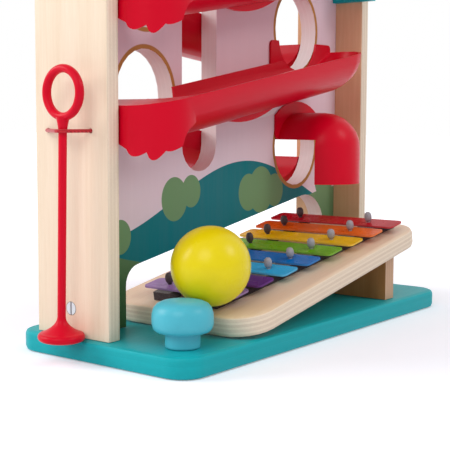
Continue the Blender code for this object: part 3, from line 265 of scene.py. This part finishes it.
def painted_board(name, layer_axis, layer, upright_grain=False):
    """Teal paint over plywood: faint grain under it, ply ridges on its edges, worn rims."""
    made, tree, shader, place = new_finish(name, teal_roughness, shine=0.16)
    grain_way = turned_way(tree, place, grain_upright) if upright_grain else place
    figure = place_group(tree, wood_figure, {"Vector": grain_way})
    depth = sum_node(tree, "DIVIDE", axis_values(tree, place)[layer_axis], layer)
    layers = place_group(tree, ply_layers, {"Depth": depth, "Along": place})
    edge = ramp_node(tree, size_of(tree, axis_values(tree, surface_normal(tree))[layer_axis]), 0.5, 0.2)
    wear = place_group(tree, rim_wear, {"Vector": place})
    body = blend_node(tree, times(tree, figure["Streak"], 0.45), teal_colour, darker(teal_colour, 0.86))
    lined = times(tree, times(tree, layers["Tone"], edge), 0.22)
    body = blend_node(tree, lined, body, darker(teal_colour, 0.62))
    body = blend_node(tree, times(tree, wear["Wear"], 0.14), body, teal_worn)
    surface(tree, shader, body, weighted(tree, figure["Fibre"], 0.10, teal_roughness - 0.03))
    ridges = times(tree, times(tree, layers["Glue"], edge), -0.8)
    height = weighted(tree, figure["Streak"], 0.35, weighted(tree, figure["Fibre"], 0.12, ridges))
    raise_surface(tree, shader, height, strength=0.22, distance=0.0003)
    return made


merge_distance = 0.000003


def add_piece(name, mesh):
    """An object at the origin for a mesh."""
    piece = bpy.data.objects.new(name, mesh)
    bpy.context.scene.collection.objects.link(piece)
    return piece


def smoothed(name, finish, angle=35.0):
    """A solid with its corners merged, so that its round faces shade as round."""
    source = frame["nodes"][name]
    mesh = source.data.copy()
    for layer in list(mesh.attributes):
        if layer.name == "custom_normal":
            mesh.attributes.remove(layer)
    bm = bmesh.new()
    bm.from_mesh(mesh)
    bmesh.ops.remove_doubles(bm, verts=bm.verts, dist=merge_distance)
    bm.to_mesh(mesh)
    bm.free()
    mesh.materials.clear()
    mesh.materials.append(finish)
    piece = add_piece("smoothed_" + name, mesh)
    mesh.shade_smooth()
    mesh.set_sharp_from_angle(angle=math.radians(angle))
    even = piece.modifiers.new("even_normals", "WEIGHTED_NORMAL")
    even.keep_sharp = True
    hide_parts(name)
    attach(piece, source["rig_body"])
    return piece


teal = painted_board("teal_paint_on_ply", "Z", base_layer)
smoothed("base_board", teal)


# Side panels
# Two upright panels of plywood under a clear satin lacquer. The right one's faces are darker and warmer,
# as painted shade and painted reflection of the red tracks. The face grain runs up them, and their long
# edges show the plies.

panel_layer = 0.0013
panel_layer_start = 0.0005
pale_panel = ((0.88, 0.735, 0.570), (0.80, 0.635, 0.460))
# the right panel's faces: darker and warmer, as painted shade and painted reflection of the red tracks
painted_shade_panel = ((0.86, 0.570, 0.340), (0.76, 0.470, 0.260))
pale_plies = ((0.910, 0.760, 0.600), (0.720, 0.560, 0.420))
brown_glue = (0.46, 0.30, 0.20)


def lacquered_ply(name, face_colours, turn, layer, layer_start, ply_colours=pale_plies):
    """Clear-coated plywood: turn brings the grain along X and the plies' thickness along Z."""
    made, tree, shader, place = new_finish(name, roughness=0.48)
    grain_way = turned_way(tree, place, turn)
    figure = place_group(tree, wood_figure, {"Vector": grain_way})
    depth = sum_node(tree, "ADD", axis_values(tree, grain_way)["Z"], layer_start)
    layers = place_group(tree, ply_layers, {
        "Depth": sum_node(tree, "DIVIDE", depth, layer), "Along": place})
    facing = axis_values(tree, turned_way(tree, surface_normal(tree), turn, "NORMAL"))
    edge = ramp_node(tree, size_of(tree, facing["Z"]), 0.6, 0.3)
    face = blend_node(tree, figure["Streak"], *face_colours)
    face = blend_node(tree, times(tree, figure["Fibre"], 0.10), face, darker(face_colours[1], 0.7))
    plies = blend_node(tree, layers["Tone"], *ply_colours)
    plies = blend_node(tree, times(tree, layers["Glue"], 0.22), plies, brown_glue)
    surface(tree, shader, blend_node(tree, edge, face, plies),
            weighted(tree, figure["Streak"], 0.10, weighted(tree, edge, 0.12, 0.36)))
    grooves = times(tree, times(tree, layers["Glue"], edge), -0.6)
    height = weighted(tree, figure["Fibre"], -0.18, weighted(tree, figure["Streak"], -0.12, grooves))
    raise_surface(tree, shader, height, strength=0.22, distance=0.0003)
    return made


panel_ply = lacquered_ply("panel_ply", pale_panel, turn=grain_upright, layer=panel_layer,
                          layer_start=panel_layer_start)
smoothed("left_side_panel", panel_ply)
painted_shade_ply = lacquered_ply("painted_shade_panel_ply", painted_shade_panel, turn=grain_upright, layer=panel_layer,
                         layer_start=panel_layer_start)
smoothed("right_side_panel", painted_shade_ply)


# Centre panel
# A plywood panel with a screen-printed front: a pale pink sky, a few plain hills and round
# bushes, and thin ochre trims round the windows. Its back is bare wood. Its cut edges are plies
# lightened and tinted pink as painted light and painted reflection of the red tracks and the print.

below_hill, hill_in, hill_out = new_group("below_hill", [
    (name, value_kind) for name in ("X", "Z", "Middle", "Swing", "Waves", "Shift")],
    [("Mask", value_kind)])
swing = sum_node(below_hill, "SINE", weighted(
    below_hill, hill_in.outputs["X"], hill_in.outputs["Waves"], hill_in.outputs["Shift"]))
crest = weighted(below_hill, swing, hill_in.outputs["Swing"], hill_in.outputs["Middle"])
under_crest = sum_node(below_hill, "SUBTRACT", crest, hill_in.outputs["Z"])
below_hill.links.new(ramp_node(below_hill, under_crest, -0.0001, 0.0001), hill_out.inputs["Mask"])

in_oval, oval_in, oval_out = new_group("in_oval", [
    (name, value_kind) for name in ("X", "Z", "Centre X", "Centre Z", "Half Width", "Half Height")],
    [("Mask", value_kind)])
from_x = sum_node(in_oval, "SUBTRACT", oval_in.outputs["X"], oval_in.outputs["Centre X"])
from_z = sum_node(in_oval, "SUBTRACT", oval_in.outputs["Z"], oval_in.outputs["Centre Z"])
oval_x = sum_node(in_oval, "DIVIDE", from_x, oval_in.outputs["Half Width"])
oval_z = sum_node(in_oval, "DIVIDE", from_z, oval_in.outputs["Half Height"])
reach = sum_node(in_oval, "SQRT", weighted(in_oval, oval_x, oval_x, times(in_oval, oval_z, oval_z)))
in_oval.links.new(ramp_node(in_oval, reach, 1.008, 0.992), oval_out.inputs["Mask"])

# the print's colours
low_sky = (0.880, 0.710, 0.770)
high_sky = (0.870, 0.620, 0.690)
cloud_white = (0.900, 0.820, 0.840)
hill_blue = (0.000, 0.190, 0.215)
bush_green = (0.180, 0.330, 0.150)
low_meadow = (0.060, 0.160, 0.060)
high_meadow = (0.190, 0.320, 0.150)
trim_ochre = (0.520, 0.230, 0.055)
streak_brown = (0.36, 0.24, 0.24)
# its places: clouds as (x, z, half width, half height), bushes as (x, z, radius), windows as (x, z)
clouds = ((-0.0300, 0.2560, 0.0300, 0.0085), (-0.0450, 0.2610, 0.0150, 0.0100),
          (0.0260, 0.1400, 0.0260, 0.0070), (0.0160, 0.1440, 0.0130, 0.0085))
bushes = ((-0.1190, 0.0630, 0.0120), (-0.1040, 0.0650, 0.0090), (-0.0560, 0.0840, 0.0120),
          (-0.0400, 0.0880, 0.0090), (0.0200, 0.0840, 0.0110), (0.0340, 0.0850, 0.0140),
          (0.0500, 0.0840, 0.0100), (0.1130, 0.0880, 0.0120))
bush_height_share = 1.12
window_places = ((-0.0822, 0.1457), (-0.0822, 0.2127), (0.0748, 0.1137), (0.0748, 0.1937))
trim_half_width = 0.0275
trim_half_height = 0.0300
# the bare wood: its face, and its cut plies, lightened and tinted pink as painted light and painted
# reflection of the red tracks and the print
centre_layer = 0.0017
centre_face = ((0.90, 0.740, 0.560), (0.82, 0.630, 0.440))
centre_plies_with_painted_light = ((0.930, 0.830, 0.820), (0.700, 0.540, 0.500))
centre_glue = (0.46, 0.30, 0.24)


def printed_ply():
    """Plywood with the print on its front."""
    made, tree, shader, place = new_finish("printed_panel", roughness=0.55, shine=0.12)
    figure = place_group(tree, wood_figure, {"Vector": turned_way(tree, place, grain_upright)})
    panel_x, panel_y, panel_z = axis_values(tree, place)

    def oval(centre_x, centre_z, half_width, half_height):
        return place_group(tree, in_oval, {
            "X": panel_x, "Z": panel_z, "Centre X": centre_x, "Centre Z": centre_z,
            "Half Width": half_width, "Half Height": half_height})["Mask"]

    def hill(middle, swing, waves, shift):
        return place_group(tree, below_hill, {
            "X": panel_x, "Z": panel_z,
            "Middle": middle, "Swing": swing, "Waves": waves, "Shift": shift})["Mask"]

    scenery = blend_node(tree, ramp_node(tree, panel_z, 0.07, 0.26), low_sky, high_sky)
    for cloud in clouds:
        scenery = blend_node(tree, oval(*cloud), scenery, cloud_white)
    far_hill = hill(middle=0.0840, swing=0.0210, waves=22.0, shift=1.223)
    scenery = blend_node(tree, far_hill, scenery, hill_blue)
    for bush_x, bush_z, radius in bushes:
        bush = oval(bush_x, bush_z, radius, radius * bush_height_share)
        scenery = blend_node(tree, bush, scenery, bush_green)
    meadow = blend_node(tree, ramp_node(tree, panel_z, 0.035, 0.080), low_meadow, high_meadow)
    near_hill = hill(middle=0.0640, swing=0.0190, waves=17.0, shift=-0.75)
    scenery = blend_node(tree, near_hill, scenery, meadow)
    for window_x, window_z in window_places:
        trim = oval(window_x, window_z, trim_half_width, trim_half_height)
        scenery = blend_node(tree, trim, scenery, trim_ochre)
    scenery = blend_node(tree, times(tree, figure["Streak"], 0.06), scenery, streak_brown)

    facing_y = axis_values(tree, surface_normal(tree))["Y"]
    front_share = ramp_node(tree, facing_y, -0.6, -0.8)
    edge_share = ramp_node(tree, size_of(tree, facing_y), 0.6, 0.3)
    layers = place_group(tree, ply_layers, {
        "Depth": sum_node(tree, "DIVIDE", panel_y, centre_layer), "Along": place})
    plies = blend_node(tree, times(tree, layers["Tone"], 0.12), *centre_plies_with_painted_light)
    plies = blend_node(tree, times(tree, layers["Glue"], 0.08), plies, centre_glue)
    bare = blend_node(tree, edge_share, blend_node(tree, figure["Streak"], *centre_face), plies)
    surface(tree, shader, blend_node(tree, front_share, bare, scenery),
            weighted(tree, figure["Fibre"], 0.08, 0.42))
    grooves = times(tree, layers["Glue"], times(tree, edge_share, -0.6))
    height = weighted(tree, figure["Fibre"], 0.2, grooves)
    raise_surface(tree, shader, height, strength=0.20, distance=0.0003)
    return made


smoothed("center_panel", printed_ply())


# Pounding deck, its rubber rings and the closing board
# The deck is painted ply with three round holes. A red rubber ring sits in each and narrows
# to a waist that holds a ball. A thin teal board closes the drop lane at the right.

thin_layer = 0.0017
smoothed("pounding_deck", teal)
upright_teal = painted_board("teal_paint_on_thin_board", "X", thin_layer, upright_grain=True)
smoothed("lane_end_board", upright_teal)

rubber, tree, shader, place = new_finish("red_rubber", roughness=0.62, shine=0.25)
rubber_red = (0.540, 0.018, 0.020)
scuffed_red = (0.620, 0.110, 0.100)
powder = noise_node(tree, place, scale=900.0, detail=4.0)
scuff = noise_node(tree, place, scale=80.0, detail=5.0)
rubber_colour = blend_node(tree, ramp_node(tree, scuff, 0.45, 0.75, 0.0, 0.35), rubber_red, scuffed_red)
surface(tree, shader, rubber_colour, ramp_node(tree, scuff, 0.3, 0.7, 0.52, 0.72))
raise_surface(tree, shader, powder, strength=0.25, distance=0.0002)
weld_distance = 0.000002


def spun(name, profile, matrix, finish, steps, angle):
    """A piece turned about its own Z axis from a profile of (radius, height)."""
    bm = bmesh.new()
    verts = [bm.verts.new((radius, 0.0, height)) for radius, height in profile]
    edges = [bm.edges.new(pair) for pair in zip(verts, verts[1:])]
    bmesh.ops.spin(bm, geom=verts + edges, cent=(0, 0, 0), axis=(0, 0, 1), angle=2 * math.pi,
                   steps=steps, use_merge=True)
    bmesh.ops.remove_doubles(bm, verts=bm.verts, dist=weld_distance)
    bmesh.ops.transform(bm, matrix=matrix, verts=bm.verts)
    bmesh.ops.recalc_face_normals(bm, faces=bm.faces)
    mesh = bpy.data.meshes.new(name)
    bm.to_mesh(mesh)
    bm.free()
    mesh.materials.append(finish)
    mesh.shade_smooth()
    mesh.set_sharp_from_angle(angle=math.radians(angle))
    return add_piece(name, mesh)


def stands_for(piece, node):
    """A new piece in a solid's place, on its body."""
    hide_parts(node)
    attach(piece, frame["nodes"][node]["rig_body"])


def foot_of(node):
    """The middle of the underside of a solid's box."""
    low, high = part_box(node)
    return Vector(((low.x + high.x) / 2, (low.y + high.y) / 2, low.z))


# up the ring's outside, over its lip, and down through its waist
ring_profile = (
    (0.0290, 0.0004), (0.0290, 0.0116), (0.0286, 0.0120), (0.0251, 0.0120), (0.0243, 0.0117),
    (0.0238, 0.0105), (0.0226, 0.0080), (0.0215, 0.0067), (0.0213, 0.0060), (0.0215, 0.0053),
    (0.0226, 0.0040), (0.0238, 0.0015), (0.0243, 0.0003), (0.0251, 0.0000), (0.0286, 0.0000),
    (0.0290, 0.0004))
for side_name in ("left", "center", "right"):
    node_name = "deck_ring_" + side_name
    ring_place = Matrix.Translation(foot_of(node_name))
    ring = spun("soft_ring_" + side_name, ring_profile, ring_place, rubber, steps=72, angle=50.0)
    stands_for(ring, node_name)


# Ball tracks and chute hood
# Injection-moulded red plastic half-pipes. The front ones end at the left in a bowl with a
# scalloped skirt, and the hood turns the ball's way down onto the keys.

red_plastic, tree, shader, place = new_finish("moulded_red", roughness=0.34, shine=0.12)
bright_red = (0.680, 0.001, 0.020)
deep_red = (0.600, 0.001, 0.015)
scratch_stretch = (60.0, 900.0, 900.0)
flow = noise_node(tree, place, scale=14.0, detail=3.0)
skin = noise_node(tree, place, scale=650.0, detail=2.0)
scratches = streak_noise(tree, place, scratch_stretch, detail=3.0)
moulded_colour = blend_node(tree, ramp_node(tree, flow, 0.35, 0.65, 0.0, 0.5), bright_red, deep_red)
surface(tree, shader, moulded_colour, ramp_node(tree, scratches, 0.40, 0.75, 0.30, 0.40))
raise_surface(tree, shader, skin, strength=0.06, distance=0.00008)
for moulding in ("upper_front_track", "lower_front_track", "upper_rear_track", "lower_rear_track",
                 "chute_hood"):
    smoothed(moulding, red_plastic, angle=65.0)


# Xylophone board, support and rails
# A lacquered ply board lies on a plank that holds up its high end. Two strips of dark felt
# run along it and carry the keys.

slope = math.radians(10.42)
board_corner = Vector((-0.0886, -0.0665, 0.0123))
board_place = Matrix.Translation(board_corner) @ Matrix.Rotation(-slope, 4, "Y")
board_layer = 0.0014
board_face = ((0.90, 0.720, 0.540), (0.83, 0.620, 0.430))
board_ply = lacquered_ply("board_ply", board_face, turn=(0.0, slope, 0.0), layer=board_layer,
                          layer_start=0.0004)
smoothed("xylophone_board", board_ply)
# the plank is a browner wood, its face and plies darkened further as painted shade
support_face_painted_shade = ((0.50, 0.220, 0.080), (0.40, 0.160, 0.050))
support_plies_painted_shade = ((0.640, 0.400, 0.260), (0.520, 0.310, 0.190))
support_ply_painted_shade = lacquered_ply("support_ply_painted_shade", support_face_painted_shade, turn=grain_upright, layer=board_layer,
                            layer_start=0.0005, ply_colours=support_plies_painted_shade)
smoothed("xylophone_support", support_ply_painted_shade)

felt, tree, shader, place = new_finish("dark_felt", roughness=0.95)
felt_dark = (0.018, 0.010, 0.013)
felt_light = (0.075, 0.040, 0.050)
fuzz = noise_node(tree, place, scale=1600.0, detail=5.0, roughness=0.7)
matted = noise_node(tree, place, scale=220.0, detail=3.0)
tree.links.new(blend_node(tree, ramp_node(tree, fuzz, 0.35, 0.65), felt_dark, felt_light),
               shader.inputs["Base Color"])
shader.inputs["Sheen Weight"].default_value = 0.5
shader.inputs["Sheen Roughness"].default_value = 0.5
raise_surface(tree, shader, weighted(tree, matted, 0.6, fuzz), strength=0.6, distance=0.0005)

# The felt stands a little higher than the solids, and the front strip's foot spreads forwards, dark felt
# put as painted shadow under the keys' front ends.
# The sizes are in the board's own frame, where the strips spread apart towards the long keys.
board_middle = 0.0550
rail_spread_low = 0.0155
rail_splay = 0.085
rail_shoulder = 0.0143
rail_rise = 0.0010
front_felt_for_painted_shadow = 0.0025
for node_name, swell in (("front_key_rail", front_felt_for_painted_shadow), ("back_key_rail", 0.0)):
    rail = smoothed(node_name, felt)
    for vertex in rail.data.vertices:
        on_board = board_place.inverted() @ vertex.co
        front_rail_middle = board_middle - (on_board.x * rail_splay + rail_spread_low)
        if on_board.z > rail_shoulder:
            on_board.z += rail_rise
        elif on_board.y < front_rail_middle:
            on_board.y -= swell
        vertex.co = board_place @ on_board


# Keys
# Eight thin metal bars, enamelled in glossy colours, from the short lilac one to the long
# red one. The enamel is a shade thinner along the cut edges.

key_up = (-math.sin(slope), 0.0, math.cos(slope))
# a key's corners under its middle height are raised, since the bars are thinner than the solids
key_middle = 0.0176
key_thinning = 0.0009
# each key's colour, and the paler one of its thin enamel
key_colours = (
    ("lilac", (0.330, 0.180, 0.440), (0.52, 0.42, 0.60)),
    ("purple", (0.120, 0.012, 0.230), (0.30, 0.18, 0.42)),
    ("light_blue", (0.030, 0.470, 0.860), (0.40, 0.68, 0.88)),
    ("blue", (0.001, 0.170, 0.560), (0.20, 0.42, 0.72)),
    ("green", (0.150, 0.420, 0.008), (0.42, 0.62, 0.22)),
    ("yellow", (0.900, 0.520, 0.002), (0.90, 0.72, 0.30)),
    ("orange", (0.860, 0.130, 0.004), (0.88, 0.42, 0.20)),
    ("red", (0.580, 0.004, 0.018), (0.72, 0.22, 0.22)))


def key_enamel(name, colour, thin):
    """Enamel with a faint orange peel, thinner on the sides of the bar."""
    made, tree, shader, place = new_finish(name, roughness=0.36, shine=0.07)
    facing_up = step_node(tree, "ShaderNodeVectorMath", {
        0: surface_normal(tree), 1: key_up}, operation="DOT_PRODUCT")
    side = ramp_node(tree, size_of(tree, facing_up.outputs["Value"]), 0.9, 0.4)
    cloudy = noise_node(tree, place, scale=90.0, detail=3.0)
    peel = noise_node(tree, place, scale=700.0, detail=2.0)
    body = blend_node(tree, ramp_node(tree, cloudy, 0.35, 0.65), colour, darker(colour, 0.82))
    surface(tree, shader, blend_node(tree, times(tree, side, 0.22), body, thin),
            ramp_node(tree, cloudy, 0.3, 0.7, 0.24, 0.34))
    raise_surface(tree, shader, peel, strength=0.12, distance=0.0001)
    return made


for colour_name, colour, thin in key_colours:
    key = smoothed(colour_name + "_key", key_enamel(colour_name + "_enamel", colour, thin), angle=50.0)
    for vertex in key.data.vertices:
        on_board = board_place.inverted() @ vertex.co
        if on_board.z < key_middle:
            on_board.z += key_thinning
        vertex.co = board_place @ on_board


# Key pins
# Each key sits loosely on two pins. A pin is a thin shank under an egg-shaped plastic cap,
# grey in the front row and nearly black in the back row.

cap_colours = {"front": ((0.420, 0.400, 0.430), (0.300, 0.280, 0.310)),
               "back": ((0.110, 0.080, 0.085), (0.055, 0.035, 0.040))}
# up the shank from the board, and over the cap
pin_profile = (
    (0.0, 0.0040), (0.0012, 0.0040), (0.0012, 0.0195), (0.0017, 0.0196), (0.0023, 0.0206),
    (0.0025, 0.0220), (0.0024, 0.0235), (0.0020, 0.0247), (0.0012, 0.0255), (0.0, 0.0257))
cap_finishes = {}
for row, tones in cap_colours.items():
    cap_finish, tree, shader, place = new_finish(row + "_cap", roughness=0.48)
    mottle = noise_node(tree, place, scale=260.0, detail=4.0)
    surface(tree, shader, blend_node(tree, mottle, *tones), ramp_node(tree, mottle, 0.3, 0.7, 0.40, 0.58))
    raise_surface(tree, shader, mottle, strength=0.2, distance=0.0002)
    cap_finishes[row] = cap_finish
for colour_name, _, _ in key_colours:
    for row, cap_finish in cap_finishes.items():
        node_name = colour_name + "_pin_" + row
        low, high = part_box(node_name)
        on_board = board_place.inverted() @ ((low + high) / 2)
        pin_place = board_place @ Matrix.Translation((on_board.x, on_board.y, 0.0))
        pin = spun(colour_name + "_capped_pin_" + row, pin_profile, pin_place, cap_finish,
                   steps=20, angle=60.0)
        stands_for(pin, node_name)


# Stop
# A turned mushroom in pale blue-green paint. Its head halts the ball at the low end of the
# keys.

def glossy_paint(name, colour, deep, roughness=0.26):
    """Gloss paint over turned wood."""
    made, tree, shader, place = new_finish(name, roughness, coat=0.12, shine=0.2)
    figure = place_group(tree, wood_figure, {"Vector": place})
    wave = noise_node(tree, place, scale=55.0, detail=3.0)
    depth = weighted(tree, figure["Streak"], 0.35, times(tree, wave, 0.3))
    surface(tree, shader, blend_node(tree, depth, colour, deep),
            ramp_node(tree, wave, 0.3, 0.7, roughness, roughness + 0.10))
    height = weighted(tree, figure["Streak"], 0.35, wave)
    raise_surface(tree, shader, height, strength=0.10, distance=0.0003)
    return made


pale_teal = glossy_paint("pale_teal_gloss", (0.085, 0.500, 0.610), (0.060, 0.420, 0.530), roughness=0.32)
# up the peg and the stem, out under the head, and over its round top
mushroom_profile = (
    (0.0, 0.0054), (0.0037, 0.0054), (0.0040, 0.0058), (0.0040, 0.0123), (0.0090, 0.0123),
    (0.0094, 0.0127), (0.00945, 0.0135), (0.00945, 0.0200), (0.0095, 0.0204), (0.0104, 0.0205),
    (0.0125, 0.0206), (0.0145, 0.0211), (0.0158, 0.0225), (0.0165, 0.0248), (0.01655, 0.0275),
    (0.0164, 0.0305), (0.0155, 0.0335), (0.0138, 0.0355), (0.0110, 0.0368), (0.0075, 0.0374),
    (0.0038, 0.0375), (0.0, 0.0375))
stop_middle = foot_of("stop_mushroom")
stop_place = Matrix.Translation((stop_middle.x, stop_middle.y, 0.0))
stop = spun("turned_stop", mushroom_profile, stop_place, pale_teal, steps=72, angle=50.0)
stands_for(stop, "stop_mushroom")


# Balls
# Solid wooden balls under thick gloss paint: yellow at the foot of the keys, red and green
# in the deck's rings.

ball_radius = 0.0223
ball_colours = (
    ("yellow", (0.860, 0.700, 0.002), (0.780, 0.600, 0.001)),
    ("red", (0.560, 0.008, 0.014), (0.470, 0.006, 0.010)),
    ("green", (0.110, 0.400, 0.016), (0.080, 0.330, 0.012)))
for colour_name, colour, deep in ball_colours:
    node_name = "ball_" + colour_name
    low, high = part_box(node_name)
    bm = bmesh.new()
    bmesh.ops.create_uvsphere(bm, u_segments=64, v_segments=40, radius=ball_radius,
                              matrix=Matrix.Translation((low + high) / 2))
    mesh = bpy.data.meshes.new("painted_" + node_name)
    bm.to_mesh(mesh)
    bm.free()
    mesh.materials.append(glossy_paint(colour_name + "_gloss", colour, deep))
    mesh.shade_smooth()
    stands_for(add_piece("painted_" + node_name, mesh), node_name)


# Mallet and elastic cords
# The mallet is one red moulding: a finger ring, a thin stem and a flared foot. A red elastic
# loop holds it to the left panel, and a second one holds the hammer.

# the foot's rim is a round edge, the flare falls in to the stem, and the stem swells into the ring
foot = Vector((-0.1497, 0.0173, 0.0123))
ring_middle = Vector((-0.1497, 0.0140, 0.1465))
rim_radius = 0.0106
rim_round = 0.00225
rim_height = 0.00255
stem_radius = 0.0023
flare_start = 0.0048
flare_height = 0.0095
flare_power = 2.4
neck_swell = 0.0015
neck_height = 0.0100
ring_radius = 0.0125
ring_round = 0.00222
ring_stretch = (1.19, 1.0, 1.02)
stem_end_drop = 0.0128
stem_end = (ring_middle - foot).length - stem_end_drop
rim_steps = 12
flare_steps = 16
neck_steps = 8
mallet_profile = [(0.0, rim_height - rim_round)]
for step in range(rim_steps + 1):
    angle = math.radians(-90.0 + 180.0 * step / rim_steps)
    mallet_profile.append((
        rim_radius + rim_round * math.cos(angle), rim_height + rim_round * math.sin(angle)))
for step in range(1, flare_steps + 1):
    share = step / flare_steps
    flare = (rim_radius - stem_radius) * (1 - share) ** flare_power
    mallet_profile.append((stem_radius + flare, flare_start + flare_height * share))
for step in range(neck_steps + 1):
    share = step / neck_steps
    mallet_profile.append((stem_radius + neck_swell * share ** 2, stem_end - neck_height * (1 - share)))
mallet_profile.append((0.0, stem_end))
upwards = (ring_middle - foot).to_track_quat("Z", "Y").to_matrix().to_4x4()
mallet_place = Matrix.Translation(foot) @ upwards
mallet = spun("moulded_mallet", mallet_profile, mallet_place, red_plastic, steps=48, angle=60.0)
bm = bmesh.new()
bmesh.ops.create_circle(bm, segments=20, radius=ring_round,
                        matrix=Matrix.Translation((0.0, ring_radius, 0.0)))
bmesh.ops.spin(bm, geom=bm.verts[:] + bm.edges[:], cent=(0, 0, 0), axis=(1, 0, 0), angle=2 * math.pi,
               steps=64, use_merge=True)
bmesh.ops.scale(bm, vec=ring_stretch, verts=bm.verts)
bmesh.ops.translate(bm, vec=ring_middle, verts=bm.verts)
bmesh.ops.recalc_face_normals(bm, faces=bm.faces)
for face in bm.faces:
    face.smooth = True
bm.from_mesh(mallet.data)
bm.to_mesh(mallet.data)
bm.free()
stands_for(mallet, "mallet")

elastic, tree, shader, place = new_finish("red_elastic", roughness=0.70)
braid = step_node(tree, "ShaderNodeTexVoronoi", {"Vector": place, "Scale": 1500.0}).outputs["Distance"]
ribs = step_node(tree, "ShaderNodeTexWave", {"Vector": place, "Scale": 420.0, "Distortion": 1.5},
                 bands_direction="DIAGONAL").outputs["Fac"]
cord_dark = (0.380, 0.006, 0.014)
cord_light = (0.600, 0.020, 0.030)
surface(tree, shader, blend_node(tree, ribs, cord_dark, cord_light),
        ramp_node(tree, braid, 0.0, 0.6, 0.62, 0.85))
shader.inputs["Sheen Weight"].default_value = 0.4
raise_surface(tree, shader, weighted(tree, ribs, 0.7, braid), strength=0.5, distance=0.0002)
smoothed("mallet_cord", elastic, angle=60.0)
smoothed("hammer_cord", elastic, angle=60.0)


# Hammer
# A turned beech head on a beech handle, both under clear lacquer.

beech_light = (0.740, 0.520, 0.310)
beech_dark = (0.620, 0.390, 0.210)
fleck_brown = (0.330, 0.180, 0.085)
fleck_stretch = (260.0, 1500.0, 1500.0)
grain_to_front = (0.0, 0.0, math.pi / 2)


def turned_beech(name, turn):
    """Beech with short dark flecks along its grain."""
    made, tree, shader, place = new_finish(name, roughness=0.44)
    grain_way = turned_way(tree, place, turn)
    figure = place_group(tree, wood_figure, {"Vector": grain_way})
    flecks = streak_noise(tree, grain_way, fleck_stretch, detail=1.0)
    body = blend_node(tree, figure["Streak"], beech_light, beech_dark)
    body = blend_node(tree, ramp_node(tree, flecks, 0.62, 0.70, 0.0, 0.5), body, fleck_brown)
    surface(tree, shader, body, weighted(tree, figure["Fibre"], 0.12, 0.34))
    raise_surface(tree, shader, figure["Fibre"], strength=0.2, distance=0.0002)
    return made


smoothed("hammer_head", turned_beech("beech_head", grain_to_front), angle=50.0)
smoothed("hammer_handle", turned_beech("beech_handle", grain_upright), angle=50.0)


# Barrel nuts and bolts
# Slotted steel barrel nuts sit flush in the side panels and take the bolts from the base
# and the deck.

steel, tree, shader, place = new_finish("turned_steel", roughness=0.32, metallic=1.0)
lathe_stretch = (300.0, 2600.0, 2600.0)
dull_steel = (0.480, 0.490, 0.510)
bright_steel = (0.640, 0.650, 0.660)
lathe_marks = streak_noise(tree, place, lathe_stretch, detail=3.0)
surface(tree, shader, blend_node(tree, lathe_marks, dull_steel, bright_steel),
        ramp_node(tree, lathe_marks, 0.3, 0.7, 0.26, 0.42))
raise_surface(tree, shader, lathe_marks, strength=0.2, distance=0.0001)
for side_name in ("left", "right"):
    for node_name in ("lower_" + side_name + "_barrel_nut", "upper_" + side_name + "_barrel_nut",
                      "base_bolt_" + side_name, "deck_bolt_" + side_name):
        smoothed(node_name, steel)


# Floor, background and lamps
# A white floor runs into a white background; its glow is lower near the bench, a painted shadow
# round it. Three broad soft lamps and the pale world light the bench plainly.

white = (1.0, 1.0, 1.0, 1.0)
floor_size = 6.0
floor_drop = 0.0001
floor_colour = (0.86, 0.87, 0.94, 1.0)
# the floor glows less near the bench: a painted shadow round it
near_glow_painted_shadow, far_glow = 0.26, 0.68
glow_start, glow_end = 0.15, 0.6
world_light, world_seen = 0.50, 1.0
lamp_aim = Vector((0.0, 0.0, 0.12))


def seen_share(tree):
    """1 where the camera looks, straight or by a reflection, and 0 for the light given to the bench."""
    path = tree.nodes.new("ShaderNodeLightPath")
    return sum_node(tree, "MAXIMUM", path.outputs["Is Camera Ray"], sum_node(
        tree, "MAXIMUM", path.outputs["Is Glossy Ray"], path.outputs["Is Transmission Ray"]))


bm = bmesh.new()
bmesh.ops.create_grid(bm, x_segments=1, y_segments=1, size=floor_size)
floor_mesh = bpy.data.meshes.new("floor")
bm.to_mesh(floor_mesh)
bm.free()
floor = add_piece("floor", floor_mesh)
floor.location = (0.0, 0.0, -floor_drop)
floor_finish = bpy.data.materials.new("white_floor")
floor_finish.use_nodes = True
tree = floor_finish.node_tree
tree.nodes.clear()
matte = step_node(tree, "ShaderNodeBsdfDiffuse", {"Color": floor_colour})
from_bench = step_node(tree, "ShaderNodeVectorMath", {
    0: tree.nodes.new("ShaderNodeTexCoord").outputs["Object"]}, operation="LENGTH").outputs["Value"]
floor_glow_with_painted_shadow = step_node(tree, "ShaderNodeEmission", {"Color": white, "Strength": times(
    tree, seen_share(tree), ramp_node(tree, from_bench, glow_start, glow_end, near_glow_painted_shadow, far_glow))})
both = step_node(tree, "ShaderNodeAddShader", {0: matte.outputs[0], 1: floor_glow_with_painted_shadow.outputs[0]})
step_node(tree, "ShaderNodeOutputMaterial", {"Surface": both.outputs[0]})
floor_mesh.materials.append(floor_finish)

world = bpy.data.worlds.new("pale_world")
bpy.context.scene.world = world
world.use_nodes = True
tree = world.node_tree
tree.nodes.clear()
strength = ramp_node(tree, seen_share(tree), 0.0, 1.0, world_light, world_seen)
sky_glow = step_node(tree, "ShaderNodeBackground", {"Color": white, "Strength": strength})
step_node(tree, "ShaderNodeOutputWorld", {"Surface": sky_glow.outputs[0]})


def soft_lamp(name, place, size, power):
    """A round area lamp turned to the bench."""
    data = bpy.data.lights.new(name, "AREA")
    data.shape = "DISK"
    data.size = size
    data.energy = power
    lamp = bpy.data.objects.new(name, data)
    bpy.context.scene.collection.objects.link(lamp)
    lamp.location = place
    lamp.rotation_euler = (lamp_aim - Vector(place)).to_track_quat("-Z", "Y").to_euler()


soft_lamp("left_softbox", (-1.25, -0.4, 1.0), size=0.9, power=6.8)
soft_lamp("rear_softbox", (-0.9, 1.1, 0.8), size=0.9, power=11.5)
soft_lamp("right_softbox", (0.5, -1.3, 1.2), size=0.7, power=7.0)

bpy.context.scene.view_settings.view_transform = "Standard"
